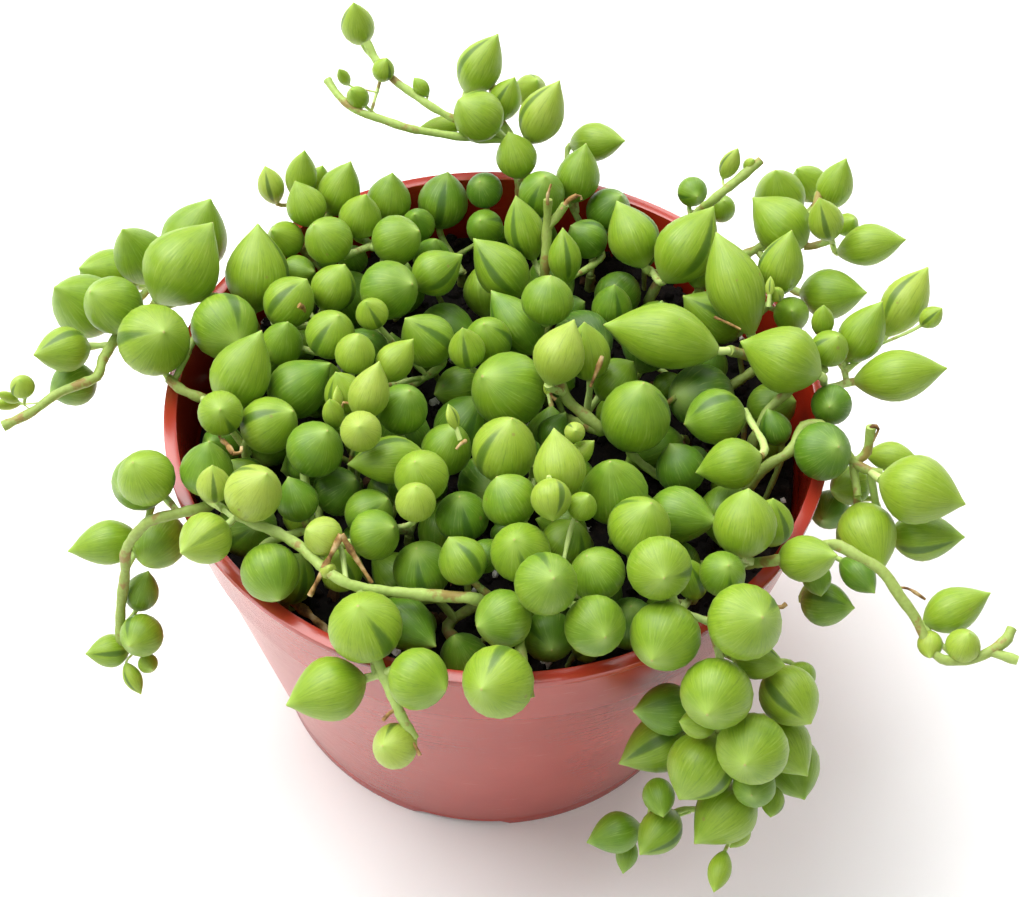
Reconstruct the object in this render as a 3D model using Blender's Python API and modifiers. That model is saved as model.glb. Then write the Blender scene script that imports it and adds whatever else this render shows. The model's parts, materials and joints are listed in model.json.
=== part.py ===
"""A potted string of tears: a plastic nursery pot, its soil and thirty-one leafy strands.

Metres, +Z up. The origin is the middle of the pot's underside, which stands on a surface.
Each strand is one solid: a stem rooted in the soil with its pointed, swollen leaves.
"""

import math

import bmesh
import bpy
import numpy as np
from mathutils import Vector

MM = 0.001
TAU = 2 * math.pi

# Driving dimensions of the pot, in millimetres
POT_HEIGHT = 72.0
RIM_RADIUS = 55.0
RIM_WIDTH = 2.15
LIP_HEIGHT = 1.4
LIP_OVERHANG = 0.6
COLLAR_HEIGHT = 14.6
COLLAR_DRAFT = 1.5
COLLAR_STEP = 0.6
BASE_RADIUS = 41.0
WALL = 1.1
FOOT_WIDTH = 4.0
PAD_RADIUS = 22.0
CHANNEL_DEPTH = 1.4
FLOOR_TOP = 2.8
NOTCH_WIDTH = 15.0
NOTCH_HEIGHT = 1.2
NOTCHES = 4
DRAIN_RADIUS = 2.4
DRAIN_RING = 30.0
DRAINS = 6
TURN_STEPS = 32

# The soil, in millimetres
SOIL_BELOW_RIM = 12.0
SOIL_TOP = POT_HEIGHT - SOIL_BELOW_RIM
SOIL_LUMPS = 1.6
HOLE_DEPTH = 7.0
HOLE_SIDES = 6

# The plant, in millimetres
GAP = 0.3
STEM_RADIUS = 0.95
NECK_RADIUS = 0.62
ROOT_RING = 42.0
ROOT_SPACING = 5.0
LEAF_SIDES = 5
BUD_SIDES = 4
BUD_WIDTH = 6.05
LEAF_RINGS = ((0.25, 0.94), (0.64, 0.92))
STEM_SPACING = 6.0
STEM_BEVEL = 1

# The leaf readings were taken along sight lines from this point, measured from the rim's middle
EYE = np.array([2.61, -193.03, 227.84])

# The leaves of each strand, read by hand: (seen x, seen y, tip's seen x, tip's seen y, height over
# the rim, width, length), in millimetres. Seen places are on the rim's plane, from its middle.
LEAVES = {
    "strand_back_left_rim": [
        (-43.3, 48.6, -45, 53.8, 6, 4.7, 8),
        (-38.4, 51.4, -38.5, 58.3, 9, 5.6, 12),
        (-34.7, 49.6, -34.5, 54.5, 5, 5, 9),
        (-37.7, 42.4, -40.3, 48.3, 7, 7, 9.5),
        (-30.9, 48.6, -29.6, 56.1, 6, 7.5, 12),
        (-38.3, 35.5, -40.9, 37.5, 3.5, 6.5, 9),
    ],
    "strand_back_left_inner": [
        (-26.5, 41.9, -26, 47.5, 6, 7.5, 10),
        (-21.7, 46.8, -21.7, 53.6, 3, 8, 11),
        (-31.8, 34.7, -34.7, 38.5, 9, 8.3, 9.5),
        (-19.2, 35.8, -15.4, 38.2, 7, 8.6, 10),
        (-16.3, 40.2, -17, 42.8, 2, 6, 8),
    ],
    "strand_back_middle": [
        (-11.9, 46.7, -11.5, 54.5, 0, 9, 11.5),
        (-11.9, 29.1, -7.5, 33.6, 6, 8.3, 10.5),
        (-4.7, 49.9, -5.6, 52, 4, 6.5, 7),
        (-4.2, 40.1, -5, 42, 1, 6.5, 8),
    ],
    "strand_top": [
        (5.6, 50, 6, 54.5, 7, 8.7, 10),
        (1, 59.7, -0.7, 66.2, 11, 7.3, 10),
        (-4.1, 58.6, -3.5, 63, 7, 6.5, 9),
        (-5.5, 68.2, -9.5, 72.5, 13, 9, 10.5),
        (5.7, 70.7, 8.6, 80.5, 15, 8, 13.5),
        (3.2, 78.2, 4.3, 81.5, 11, 6, 9),
        (-2.3, 76, -0.8, 82.8, 15, 6, 11),
        (-6.2, 84.9, -3.3, 94.7, 18, 8, 13),
        (-13.2, 66.9, -18.8, 65.7, 12, 3.5, 9),
        (-30, 73.8, -31.5, 76, 17.5, 4, 6),
        (-33.2, 79.6, -34.4, 82, 19, 2.2, 5),
        (-18.1, 77.7, -19.7, 80.5, 18, 2.8, 4.5),
        (-25.7, 82.4, -25.3, 86, 20, 4, 5.5),
        (-31.9, 96.2, -33.4, 103, 23, 6, 10),
    ],
    "strand_back_right_edge": [
        (12.4, 54.7, 13.7, 63.2, 8, 8, 12),
        (15.9, 63.9, 21.3, 64.8, 8, 7, 12),
        (7.6, 59, 9, 62.5, 5, 7, 9),
        (18.3, 47.9, 20.5, 52, 1, 8, 10),
        (22.8, 51.5, 22.8, 55, 4, 4.5, 8),
        (27.3, 49.2, 27.3, 52.5, 4, 5, 7),
    ],
    "strand_back_right": [
        (22.8, 39.9, 20, 49.3, 7, 9, 13),
        (31.9, 38.4, 37.3, 49.6, 7, 10.5, 16),
        (33.7, 51.8, 34.5, 50.5, 7, 5.3, 6),
        (39, 47.5, 39.5, 49.5, 5, 5, 6),
        (41.5, 43, 41.6, 43.6, 4, 6.5, 8),
        (40.9, 60, 42.6, 64.5, 15, 3.4, 7),
        (44.6, 59.8, 45.2, 61.4, 15, 2.4, 4),
    ],
    "strand_centre_back": [
        (2.6, 39.9, 0.6, 48.5, 7, 7.4, 13),
        (-0.6, 31.7, -5.6, 38.7, 3, 9, 14),
        (10.3, 33.7, 9.9, 41.2, 6, 5.8, 11),
        (7.6, 23.1, 8, 29, 9, 8.7, 9.5),
        (14.3, 38.6, 11.3, 41.8, 0, 7, 8.5),
    ],
    "strand_right_back_outer": [
        (48.9, 44.8, 44.2, 51.2, 8, 10, 13),
        (50.1, 53, 49.8, 59.3, 6, 9, 13),
        (54.3, 54.9, 52.4, 58.8, 7, 6.5, 10),
        (60.4, 55.8, 62.9, 63.2, 10, 6.4, 11),
        (56.9, 46.2, 56.2, 51.8, 11, 6, 9.5),
        (61.6, 45, 63, 46.5, 8, 4, 6),
        (65.4, 39.8, 72.1, 42, 8, 7.2, 13),
        (57.7, 27.7, 63.9, 28.2, 3, 8.7, 13),
    ],
    "strand_right_back_inner": [
        (40.2, 28.9, 37.4, 42, 9, 9.7, 19),
        (49.3, 34, 51.5, 42.8, 10, 7.7, 13),
        (47.7, 26.8, 47.9, 28, 10, 2.5, 4),
        (49.8, 22.8, 50, 23.4, 4, 6, 8),
        (35.8, 21, 31.1, 25.6, 1, 9, 14),
    ],
    "strand_right_outer": [
        (46.8, 11.7, 39.9, 15.3, 8, 11, 14.5),
        (55.3, 20.9, 55.8, 24.8, 8, 3.8, 7),
        (56.2, 14.7, 57.8, 17.6, 8, 6.2, 7),
        (62.3, 18.7, 66.4, 26.4, 7, 7.5, 13),
        (70.6, 26.3, 75.8, 36, 9, 7.6, 14),
        (74.3, 23.2, 76.5, 25.5, 9, 3.5, 5.5),
        (67.5, 9.4, 76, 11.5, 4, 8.6, 16),
        (55.4, 1.8, 55, 1.4, 4.5, 6.6, 7.5),
    ],
    "strand_long_leaf": [
        (27, 14.8, 16.6, 17.4, 10, 10.6, 20),
        (18.8, 22.5, 19.3, 27.6, 0, 7, 10),
    ],
    "strand_centre": [
        (10, 10.7, 12.2, 18.9, 13, 8.2, 11.5),
        (14.8, 11.7, 14.2, 18.5, 10, 7.5, 12),
        (19.5, 5.6, 22.6, 10, 4, 7.5, 9),
        (1.9, 17.1, -2.9, 24.9, 5, 8.5, 14),
    ],
    "strand_centre_big": [
        (1.5, 2.4, -3, 5.2, 8, 12.3, 14),
        (-5.6, 11.2, -6.5, 15.7, 8, 6, 9),
        (-2.2, 13.2, -3, 17, 3, 8, 10),
    ],
    "strand_centre_left_back": [
        (-13.1, 12.7, -16.9, 17.3, 5, 9, 12),
        (-20, 23.6, -16.2, 25.2, 7, 10, 11.5),
        (-23.8, 17.5, -25, 20, 10, 5.7, 7),
        (-17.8, 7.7, -15.3, 12.8, 10, 6, 9),
    ],
    "strand_left_back_inner": [
        (-29.5, 23.8, -28, 29.6, 6, 7.7, 9.5),
        (-36.6, 28, -34, 28.5, 2, 6.5, 8),
        (-36.8, 19.7, -34.4, 25.3, 7, 8.4, 10.5),
        (-29.2, 12.9, -28.3, 17.3, 8, 8.5, 9.5),
        (-36.2, 10.8, -35.9, 15.7, 5, 7, 10),
    ],
    "strand_centre_left_young": [
        (-24.6, 8.1, -24.4, 12.4, 11, 6.5, 8),
        (-25.5, 0.5, -27.4, 4.8, 9, 6.5, 9),
        (-21.5, 0.5, -20.4, 7.3, 13, 6.4, 10.5),
        (-27.1, -5.2, -28, -2, 11, 3.5, 7),
        (-22.3, -8.6, -22.7, -7.5, 13, 6.3, 7),
    ],
    "strand_left_outer": [
        (-44.7, 27.2, -45.9, 38.7, 6, 11, 16),
        (-55.3, 27.5, -51.5, 38.2, 8, 12.9, 17),
        (-55.2, 34.9, -54.1, 44.6, 4, 11.5, 16),
        (-64.7, 29.7, -68.6, 35.7, 3, 9, 15),
        (-66.1, 18, -70.5, 21, 6, 9.5, 12),
        (-69, 23, -74.6, 25, 1, 10, 14),
        (-72.1, 17.2, -77.9, 21.2, 1, 11, 15),
        (-73.7, 5.9, -78.3, 4.6, 3, 7.5, 11),
        (-70.6, -1.3, -74, -3.5, -3, 7.5, 10),
        (-78.7, -2.1, -79.6, -0.6, 2, 4, 5),
        (-80.5, -4.5, -82.6, -3.6, 0, 1.8, 5),
        (-80.5, -6, -83, -6.2, -1, 2, 6),
    ],
    "strand_left_rim": [
        (-47.4, 12.5, -44.5, 9, 5, 11, 13),
        (-58.3, 8.7, -57.1, 10.5, 6, 11.7, 12),
        (-58, -2.3, -57.5, -0.8, 0, 8.5, 9.5),
        (-42.1, 3.3, -40.1, 12.6, 9, 9.5, 15),
        (-32.8, 1.2, -28.3, 7, 6, 9.5, 13),
    ],
    "strand_left_inner": [
        (-50.8, -11.9, -51.5, -7, 5.5, 9, 11),
        (-46.1, -6.3, -46.2, -5.7, 9, 7, 8),
        (-37, -7.7, -33.5, -4.5, 9, 9, 11),
    ],
    "strand_left_front_hanging": [
        (-54.4, -18.8, -57, -16, 5, 9.1, 10),
        (-55, -20.5, -57.5, -22, -2, 9, 10),
        (-51.3, -32.3, -53.1, -36.7, -8, 8.6, 11),
        (-59.6, -33.1, -65.4, -34.9, -10, 7.2, 12),
        (-52.3, -41.2, -52, -37.5, -17, 5.5, 9),
        (-51.2, -49.4, -52.7, -51.3, -20, 7, 8),
        (-55.5, -52.5, -58.8, -53.2, -25, 5.5, 8),
        (-49.4, -54.2, -48.6, -55.2, -26, 3.3, 4),
        (-51.3, -56.5, -49.6, -59.3, -28, 3, 6),
    ],
    "strand_front_left_shoot": [
        (-46, -20.5, -46.3, -15.2, 3, 8.5, 11),
        (-44.3, -20, -45, -16.4, 9, 5.2, 7.5),
        (-38.3, -21.5, -36.8, -17.5, 12, 8.5, 10.5),
        (-44.6, -31.5, -47.8, -34.2, 9, 7.8, 10.5),
        (-26.2, -29.6, -28.8, -28.5, 9, 6, 6.5),
        (-24.7, -36, -24.5, -35.4, 8, 2.6, 3.2),
        (-18.2, -47.3, -19.5, -43.8, 5, 10.8, 11),
        (-22.4, -56, -28.2, -58.7, 1, 9.5, 13),
        (-9.2, -54, -5.2, -55.6, 2, 9.3, 10),
        (-12.3, -66, -14, -66, -5, 6.7, 7),
    ],
    "strand_centre_left_front": [
        (-29, -12.3, -27.5, -8.5, 8, 9, 10),
        (-31, -22, -32.8, -17.6, 5, 6.5, 8.5),
        (-24.6, -20.5, -22, -18, 2, 8, 8.5),
        (-32.5, -35, -30.5, -39.8, 4, 8.8, 10.5),
        (-21.7, -34.2, -22, -31, 3, 6.5, 8),
        (-18.7, -30.5, -16, -29, 5, 8, 8.5),
    ],
    "strand_centre_left": [
        (-15.6, -3, -14.8, 1, 8, 8, 10),
        (-17.3, -14.2, -23.8, -15.3, 7, 7.5, 13),
        (-11.8, -16.8, -13, -14, 10, 8.3, 9),
        (-12.3, -22, -12.5, -19, 13, 6, 7),
        (-19.2, -24.4, -16.5, -21.5, 4, 7.5, 9),
        (-8, -11.2, -6.5, -6, 6, 8, 10),
    ],
    "strand_front_centre": [
        (-4.9, -24.3, -5.5, -20.5, 4, 8.3, 9),
        (-11.3, -34.2, -12.5, -30.5, 5, 9.3, 9.5),
        (-3.7, -34.6, -6, -30.3, 7, 7.5, 8.5),
        (-11.5, -45, -7, -48.5, -1, 8, 13),
        (2.5, -43, -1.3, -44.7, 5, 8.8, 9.5),
        (0.8, -55, -1.5, -56.2, 2, 10.8, 11),
    ],
    "strand_centre_pale": [
        (1.5, -10.5, 2.4, -4, 9, 10, 12.5),
        (10.6, -13, 9.6, -5, 12, 8, 11.5),
        (14.5, -11.3, 16.8, -8.6, 12, 3.5, 6),
        (12.8, -7, 12.9, -6.6, 14, 3.2, 3.5),
        (9.2, -20.5, 9.6, -24.8, 14, 6, 7),
        (13.9, -21.2, 15, -19, 11, 4.5, 5.5),
        (2.6, -20.6, 0.3, -16.2, 9, 8.5, 9),
    ],
    "strand_front_middle": [
        (3.2, -31.2, 2.2, -29, 9, 9.2, 9.5),
        (11.8, -28.3, 13.5, -24.2, 7, 7.8, 8.5),
        (9.5, -37.7, 10.6, -36.6, 9, 9.2, 9.6),
        (17.5, -34.2, 15.8, -31, 8, 8.7, 8.7),
        (17, -42.8, 18.6, -44.6, 5, 9.5, 9.5),
        (9.2, -46.2, 9.6, -48.5, 2, 8, 8.5),
        (21.8, -43, 22, -40, 1, 8, 9.5),
    ],
    "strand_centre_right": [
        (23, -2.5, 24.5, 4.8, 8, 11, 14),
        (35.7, -2, 30.5, -3.8, 5, 9, 11),
        (29.5, -12.6, 27.9, -7.5, 2, 8, 9.5),
        (37.6, -11.7, 31.8, -13.9, 6, 8, 11),
    ],
    "strand_right_front_inner": [
        (18.8, -17.3, 18.2, -11.6, 8, 10.5, 13.5),
        (22.5, -25.6, 24.3, -20.8, 11, 9.7, 11),
        (29.8, -22.3, 35.4, -23.5, 5, 8.8, 13),
    ],
    "strand_front_right_hanging": [
        (26.2, -34.7, 27, -36.5, 10, 9.4, 9.6),
        (31.5, -34.5, 30.8, -30.6, 6, 5, 9),
        (37.6, -42, 40.3, -41, 6, 11.2, 11),
        (27.4, -46.2, 25.4, -50.4, 4, 11, 11.5),
        (34.2, -54, 32.9, -57.5, -1, 10.6, 11.5),
        (37.7, -62, 36.6, -64.5, -7, 10.7, 11),
        (44.2, -56, 47, -60.5, -5, 8.8, 11),
        (43.3, -64.2, 46, -68.8, -12, 8.5, 11),
        (44.8, -66.5, 46.1, -71.6, -19, 9, 13),
        (32.3, -66.8, 29, -72.7, -13, 10.3, 12),
        (25.3, -64.7, 19.4, -68.2, -18, 9, 13.5),
        (26.9, -59, 22.3, -59.4, -12, 8, 11),
        (31.3, -60.2, 28.6, -60, -9, 4.5, 7.5),
        (38.2, -68.9, 37.8, -70.3, -15, 6.5, 7),
        (34.9, -74.4, 30.5, -79, -20, 9.5, 13),
        (41, -72, 40.6, -74.5, -20, 3.6, 6),
        (36.2, -77, 35, -79.3, -24, 4, 6),
        (33.6, -83, 32.7, -86.2, -28, 3.6, 7.5),
        (25.9, -72, 26.4, -75, -22, 5, 8),
        (24.6, -77, 22, -80.5, -27, 6.5, 11),
        (19.8, -78.4, 15.9, -79.9, -30, 6.5, 9.5),
        (20.8, -81, 20.2, -84.2, -32, 3.5, 6),
        (40.7, -49.6, 44.6, -50, 0, 5.5, 9.5),
        (46.8, -51.4, 47.8, -53.5, -5, 4.6, 5.5),
    ],
    "strand_right_hanging": [
        (53.4, -8.2, 56, -7, 6, 9.3, 9.5),
        (68, -16.3, 74.9, -18.6, 3, 11, 14.5),
        (68.5, -24.3, 74.7, -24.2, -6, 8, 13),
        (59.4, -24.7, 60.7, -31.5, -3, 9.5, 14),
        (64.6, -8.8, 69.1, -9.2, 1, 5, 9),
        (55.5, -15, 52.5, -16, -3, 6.5, 9),
        (53.3, -20, 52, -22, -9, 6.5, 8),
    ],
    "strand_right_front": [
        (39.8, -24, 40.8, -17, 9, 9.5, 11.5),
        (43.8, -23.6, 44.5, -19, 4, 7, 10),
        (36, -33, 37, -31.5, 7, 7, 7.5),
        (49.5, -29.5, 54.2, -28.8, 8, 7, 12),
        (71.5, -37.9, 77.4, -34.6, 1, 6.8, 11.5),
        (71.3, -44.3, 72.5, -42, 0, 5.2, 6),
        (67.3, -44.6, 67, -47, -1, 3.8, 5.5),
        (57, -32.6, 59.4, -35.7, -3, 5, 9.5),
        (52, -38, 56.2, -38.4, -6, 7, 10),
        (50.5, -33.5, 50.9, -36.8, -1, 4.5, 7),
    ],
}

# Roots that are set by hand, in millimetres: the rest stand under their own leaves
ROOTS = {
    "strand_top": (2.0, 38.0),
    "strand_left_outer": (-41.0, 12.0),
    "strand_left_front_hanging": (-40.0, -22.0),
    "strand_left_back_inner": (-31.0, 20.0),
    "strand_front_left_shoot": (2.5, -37.0),
    "strand_front_right_hanging": (28.0, -32.0),
    "strand_right_front": (38.0, -28.0),
    "strand_right_hanging": (42.5, -13.5),
    "strand_right_outer": (41.5, -6.5),
    "strand_right_back_outer": (38.0, 33.0),
    "strand_right_back_inner": (37.0, 24.0),
    "strand_back_right": (30.0, 38.0),
    "strand_long_leaf": (36.0, 10.0),
}

# The stems that show, from the root outwards, as (seen x, seen y, height over the rim). A second
# line of the same strand starts at a point of an earlier one.
STEMS = {
    "strand_top": [
        [(2, 44, -6), (2, 49, 1), (1, 56, 5), (0, 64, 8), (-3, 70, 10), (-4, 77, 12), (-5.6, 82, 14)],
        [(0, 64, 8), (-4.6, 63.6, 10), (-9.5, 63.9, 12), (-14.6, 64.7, 13), (-19.7, 65.7, 14),
         (-24.9, 67.9, 15), (-29.8, 70, 16), (-33.6, 74, 17), (-36.2, 78.5, 18)],
        [(-3, 70, 10), (-6.5, 68.4, 12.5), (-10.2, 68.4, 14), (-15.8, 72.2, 16), (-20, 76.1, 17),
         (-23.6, 79.6, 18), (-27.2, 84.8, 19), (-29.6, 90.4, 21)],
    ],
    "strand_back_right": [
        [(33, 43.5, 3), (37.4, 50, 11), (42, 55.5, 13.5), (46.7, 61.3, 16)],
    ],
    "strand_centre_back": [
        [(7, 30.5, 3), (7.1, 40.5, 9), (7.1, 48, 14)],
        [(7.1, 40.5, 9), (9, 44, 11), (10.3, 47, 13)],
    ],
    "strand_long_leaf": [
        [(44.5, 10.5, -3), (42, 12, 4), (38.8, 13, 9)],
    ],
    "strand_centre": [
        [(17.3, -6, 2), (13.5, -2, 5), (11.3, 0.5, 6.5), (10, 4.5, 9)],
    ],
    "strand_left_outer": [
        [(-43.5, 16.5, -4), (-47, 18.5, 2.4), (-51, 20, 3), (-57.5, 18, 3), (-62.6, 14.5, 2.5),
         (-64.7, 10.6, 2), (-66.6, 4.1, 2), (-66.8, 0.7, 1.5), (-72.5, -3.2, 1), (-75.8, -7.3, 0),
         (-80, -10.7, -1)],
    ],
    "strand_left_rim": [
        [(-46, -4, -1), (-49, -2.8, 2), (-52.5, -1.2, 3), (-54.8, 1, 3)],
    ],
    "strand_front_left_shoot": [
        [(-1.5, -40.2, 4), (-4.8, -39.9, 5), (-12.3, -39.6, 6), (-19.5, -38.9, 7), (-22.8, -37.6, 8),
         (-26.2, -35, 8), (-28.5, -32.5, 8), (-32.8, -29.6, 8), (-36.5, -28, 8.5), (-40, -26.5, 8)],
        [(-19.5, -38.9, 7), (-18.6, -43, 5.5), (-16.8, -49, 4), (-15.5, -52.5, 3), (-12.8, -58.6, 0),
         (-11.2, -61.7, -2), (-9.5, -64.6, -4)],
    ],
    "strand_front_centre": [
        [(2.6, -39, -4), (4.2, -43.5, 1), (4.9, -46.8, 3), (5.6, -51.3, 3), (6.8, -57, 1)],
    ],
    "strand_right_front": [
        [(41, -31, 3), (46, -29.8, 7), (50, -28, 7.3), (53.4, -26.7, 7), (57.2, -28.8, 7), (60.8, -31.5, 6),
         (63, -36, 4), (65, -39.8, 2), (66, -43.2, 0), (68, -47, -1), (72.4, -46.9, -1), (75.7, -45.3, 0),
         (78.5, -43, 1), (79.5, -41, 1.5)],
        [(75.7, -45.3, 0), (79.6, -46.7, 0)],
    ],
    "strand_right_hanging": [
        [(43.2, -12.5, 0), (48, -8.3, 3), (50.5, -3, 4), (53.5, -2.6, 5), (56.5, -6.6, 5),
         (58, -10, 3), (60.5, -11.8, 3), (62.5, -12.2, 3)],
        [(58, -10, 3), (58, -12.5, 1.5), (58.2, -17, 0)],
        [(58, -10, 3), (60.3, -8.3, 4), (61.6, -2.5, 9)],
    ],
    "strand_right_back_outer": [
        [(35.5, 29.5, -3), (41, 35, 2.8), (47, 39.4, 4), (52, 43.6, 6.3), (55.6, 48, 8), (57, 53, 9)],
    ],
    "strand_left_front_hanging": [
        [(-41.5, -23.5, -4), (-45, -25, 2), (-49, -26.5, 2.6), (-53.5, -28.5, 2), (-56, -33.5, -4),
         (-55.5, -38, -11), (-55, -45, -18), (-54, -51, -24)],
    ],
    "strand_right_outer": [
        [(41.4, -8, -3), (43.2, -3.5, 0), (45, 0.5, 2), (50, 6, 4.5), (55, 10, 5)],
    ],
}


def on_sight_line(x, y, height):
    """The point at this height over the rim that is seen at (x, y) of the rim's plane, pot frame."""
    point = np.array([x, y, 0.0])
    point = point + (EYE - point) * (height / EYE[2])
    return point + np.array([0.0, 0.0, POT_HEIGHT])


def sight_direction(point):
    line = EYE + np.array([0.0, 0.0, POT_HEIGHT]) - point
    return line / np.linalg.norm(line)


def tip_direction(middle, tip_x, tip_y, length):
    """The leaf points to where its tip's sight line meets a sphere of half its length, on the near side."""
    eye = EYE + np.array([0.0, 0.0, POT_HEIGHT])
    line = np.array([tip_x, tip_y, POT_HEIGHT]) - eye
    line = line / np.linalg.norm(line)
    nearest = eye + line * ((middle - eye) @ line)
    reach = (length / 2) ** 2 - np.sum((nearest - middle) ** 2)
    target = nearest - line * math.sqrt(max(reach, 0.0))
    return (target - middle) / np.linalg.norm(target - middle)


def read_leaves():
    """Every leaf as a dictionary: its strand, middle, direction, width and length."""
    leaves = []
    for strand, readings in LEAVES.items():
        for x, y, tip_x, tip_y, height, width, length in readings:
            middle = on_sight_line(x, y, height)
            axis = tip_direction(middle, tip_x, tip_y, length)
            leaf = {"strand": strand, "middle": middle, "axis": axis, "width": width, "length": length}
            leaves.append(leaf)
    return leaves


def read_routes():
    """The stems that show, as lists of points in the pot's frame."""
    routes = {}
    for strand, lines in STEMS.items():
        routes[strand] = [np.array([on_sight_line(*reading) for reading in line]) for line in lines]
    return routes


def wall_radii(height):
    """Inner and outer radius of the pot's wall at this height."""
    collar_foot = POT_HEIGHT - COLLAR_HEIGHT
    if height >= collar_foot:
        share = (POT_HEIGHT - height) / COLLAR_HEIGHT
        outer = RIM_RADIUS - LIP_OVERHANG - COLLAR_DRAFT * share
        inner = RIM_RADIUS - RIM_WIDTH - share * (COLLAR_DRAFT - 0.4)
    else:
        share = (collar_foot - height) / collar_foot
        top = RIM_RADIUS - LIP_OVERHANG - COLLAR_DRAFT - COLLAR_STEP
        outer = top - (top - BASE_RADIUS) * share
        inner = outer - WALL
    return inner, outer


BALL_PLACES = ((0.13, 0.52), (0.32, 0.92), (0.5, 1.06), (0.7, 0.84), (0.88, 0.42))


def balls_of(leaves, middles):
    """Balls that fill each leaf, as centres and radii, five to a leaf."""
    axes = np.array([leaf["axis"] for leaf in leaves])
    lengths = np.array([leaf["length"] for leaf in leaves])
    widths = np.array([leaf["width"] for leaf in leaves])
    centres = []
    radii = []
    for share, size in BALL_PLACES:
        centres.append(middles + axes * (lengths * (share - 0.5))[:, None])
        radii.append(widths / 2 * size)
    return np.stack(centres, axis=1), np.stack(radii, axis=1)


def pot_push(centre, radius):
    """How far a ball must move to be clear of the wall, the soil and the surface below."""
    push = np.zeros(3)
    floor = radius + GAP
    across = math.hypot(centre[0], centre[1])
    outward = np.array([centre[0], centre[1], 0.0]) / max(across, 1e-6)
    if centre[2] < floor:
        push[2] += floor - centre[2]
    over = centre[2] - POT_HEIGHT
    if over < radius + GAP:
        inner, outer = wall_radii(min(centre[2], POT_HEIGHT))
        outer = max(outer, RIM_RADIUS) if over > -LIP_HEIGHT - radius else outer
        into_wall = min(across + radius + GAP - inner, outer + radius + GAP - across)
        middle_radius = (inner + outer) / 2
        if into_wall > 0:
            up = radius + GAP - over
            if over > -1.0 and up < into_wall * 2:
                push[2] += up
            elif across < middle_radius:
                push -= outward * into_wall
            else:
                push += outward * into_wall
        if across < middle_radius and centre[2] < SOIL_TOP + radius + GAP:
            push[2] += SOIL_TOP + radius + GAP - centre[2]
    return push


ROOM_ROUNDS = 260
LIST_EVERY = 20
NEAR_ENOUGH = 22.0
PUSH_SHARE = 0.35
DEPTH_PULL = 0.004
PICTURE_PULL = 0.05


def near_pairs(middles):
    distance = np.linalg.norm(middles[:, None] - middles[None], axis=2)
    return np.nonzero(np.triu(distance < NEAR_ENOUGH, 1))


def pair_pushes(centres, radii, first, second):
    """Each ball's push away from the balls of the other leaf of a pair."""
    push = np.zeros_like(centres)
    line = centres[first][:, :, None, :] - centres[second][:, None, :, :]
    distance = np.linalg.norm(line, axis=3) + 1e-9
    deep = np.maximum(radii[first][:, :, None] + radii[second][:, None, :] + GAP - distance, 0.0)
    shift = line * (deep / distance)[..., None] * 0.5
    np.add.at(push, first, shift.sum(axis=2))
    np.add.at(push, second, -shift.sum(axis=1))
    return push


def stem_pushes(centres, radii, stem_points, foreign):
    """Each ball's push away from the stems that show, other than its own strand's."""
    line = centres[:, :, None, :] - stem_points[None, None, :, :]
    distance = np.linalg.norm(line, axis=3) + 1e-9
    deep = np.maximum(radii[:, :, None] + STEM_RADIUS + GAP - distance, 0.0) * foreign[:, None, :]
    return np.sum(line * (deep / distance)[..., None], axis=2)


def make_room(leaves, routes):
    """Moves leaves apart, mostly nearer or further along their sight lines, so that each keeps its place."""
    start = np.array([leaf["middle"] for leaf in leaves])
    sight = np.array([sight_direction(point) for point in start])
    strands = np.array([leaf["strand"] for leaf in leaves])
    middles = start.copy()
    lines = [(name, sampled(line, 1.4)) for name, own in routes.items() for line in own]
    stem_points = np.concatenate([points for _, points in lines])
    stem_names = np.concatenate([[name] * len(points) for name, points in lines])
    foreign = strands[:, None] != stem_names[None, :]
    everyone = np.arange(len(leaves))
    for turn in range(ROOM_ROUNDS):
        if turn % LIST_EVERY == 0:
            first, second = near_pairs(middles)
        centres, radii = balls_of(leaves, middles)
        push = pair_pushes(centres, radii, first, second)
        if turn % 2 == 0:
            push += 2 * stem_pushes(centres, radii, stem_points, foreign)
        for index, ball in zip(*np.nonzero(centres[:, :, 2] < POT_HEIGHT + radii + GAP)):
            push[index, ball] += pot_push(centres[index, ball], radii[index, ball])
        strongest = push[everyone, np.argmax(np.linalg.norm(push, axis=2), axis=1)]
        middles += PUSH_SHARE * (0.5 * strongest + 0.25 * push.sum(axis=1))
        away = start - middles
        along = np.sum(away * sight, axis=1)[:, None] * sight
        middles += DEPTH_PULL * along + PICTURE_PULL * (away - along)
    for leaf, middle in zip(leaves, middles):
        leaf["middle"] = middle


def sampled(line, spacing):
    """Points along a line of points, about this far apart."""
    points = [line[0]]
    for start, end in zip(line[:-1], line[1:]):
        steps = max(1, int(math.ceil(np.linalg.norm(end - start) / spacing)))
        points += [start + (end - start) * (step + 1) / steps for step in range(steps)]
    return np.array(points)


def smooth_line(line, spacing):
    """A smooth curve through the line's own points, by a Catmull-Rom rule."""
    line = np.asarray(line)
    ends = np.vstack([2 * line[0] - line[1], line, 2 * line[-1] - line[-2]])
    points = [line[0]]
    for before, start, end, after in zip(ends[:-3], ends[1:-2], ends[2:-1], ends[3:]):
        steps = max(1, int(round(np.linalg.norm(end - start) / spacing)))
        for step in range(1, steps + 1):
            t = step / steps
            a = 2 * start
            b = end - before
            c = 2 * before - 5 * start + 4 * end - after
            d = 3 * start - before - 3 * end + after
            points.append(0.5 * (a + b * t + c * t * t + d * t ** 3))
    return np.array(points)


SHRINK_TRIES = 12
SMALLEST_SHARE = 0.8


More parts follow.
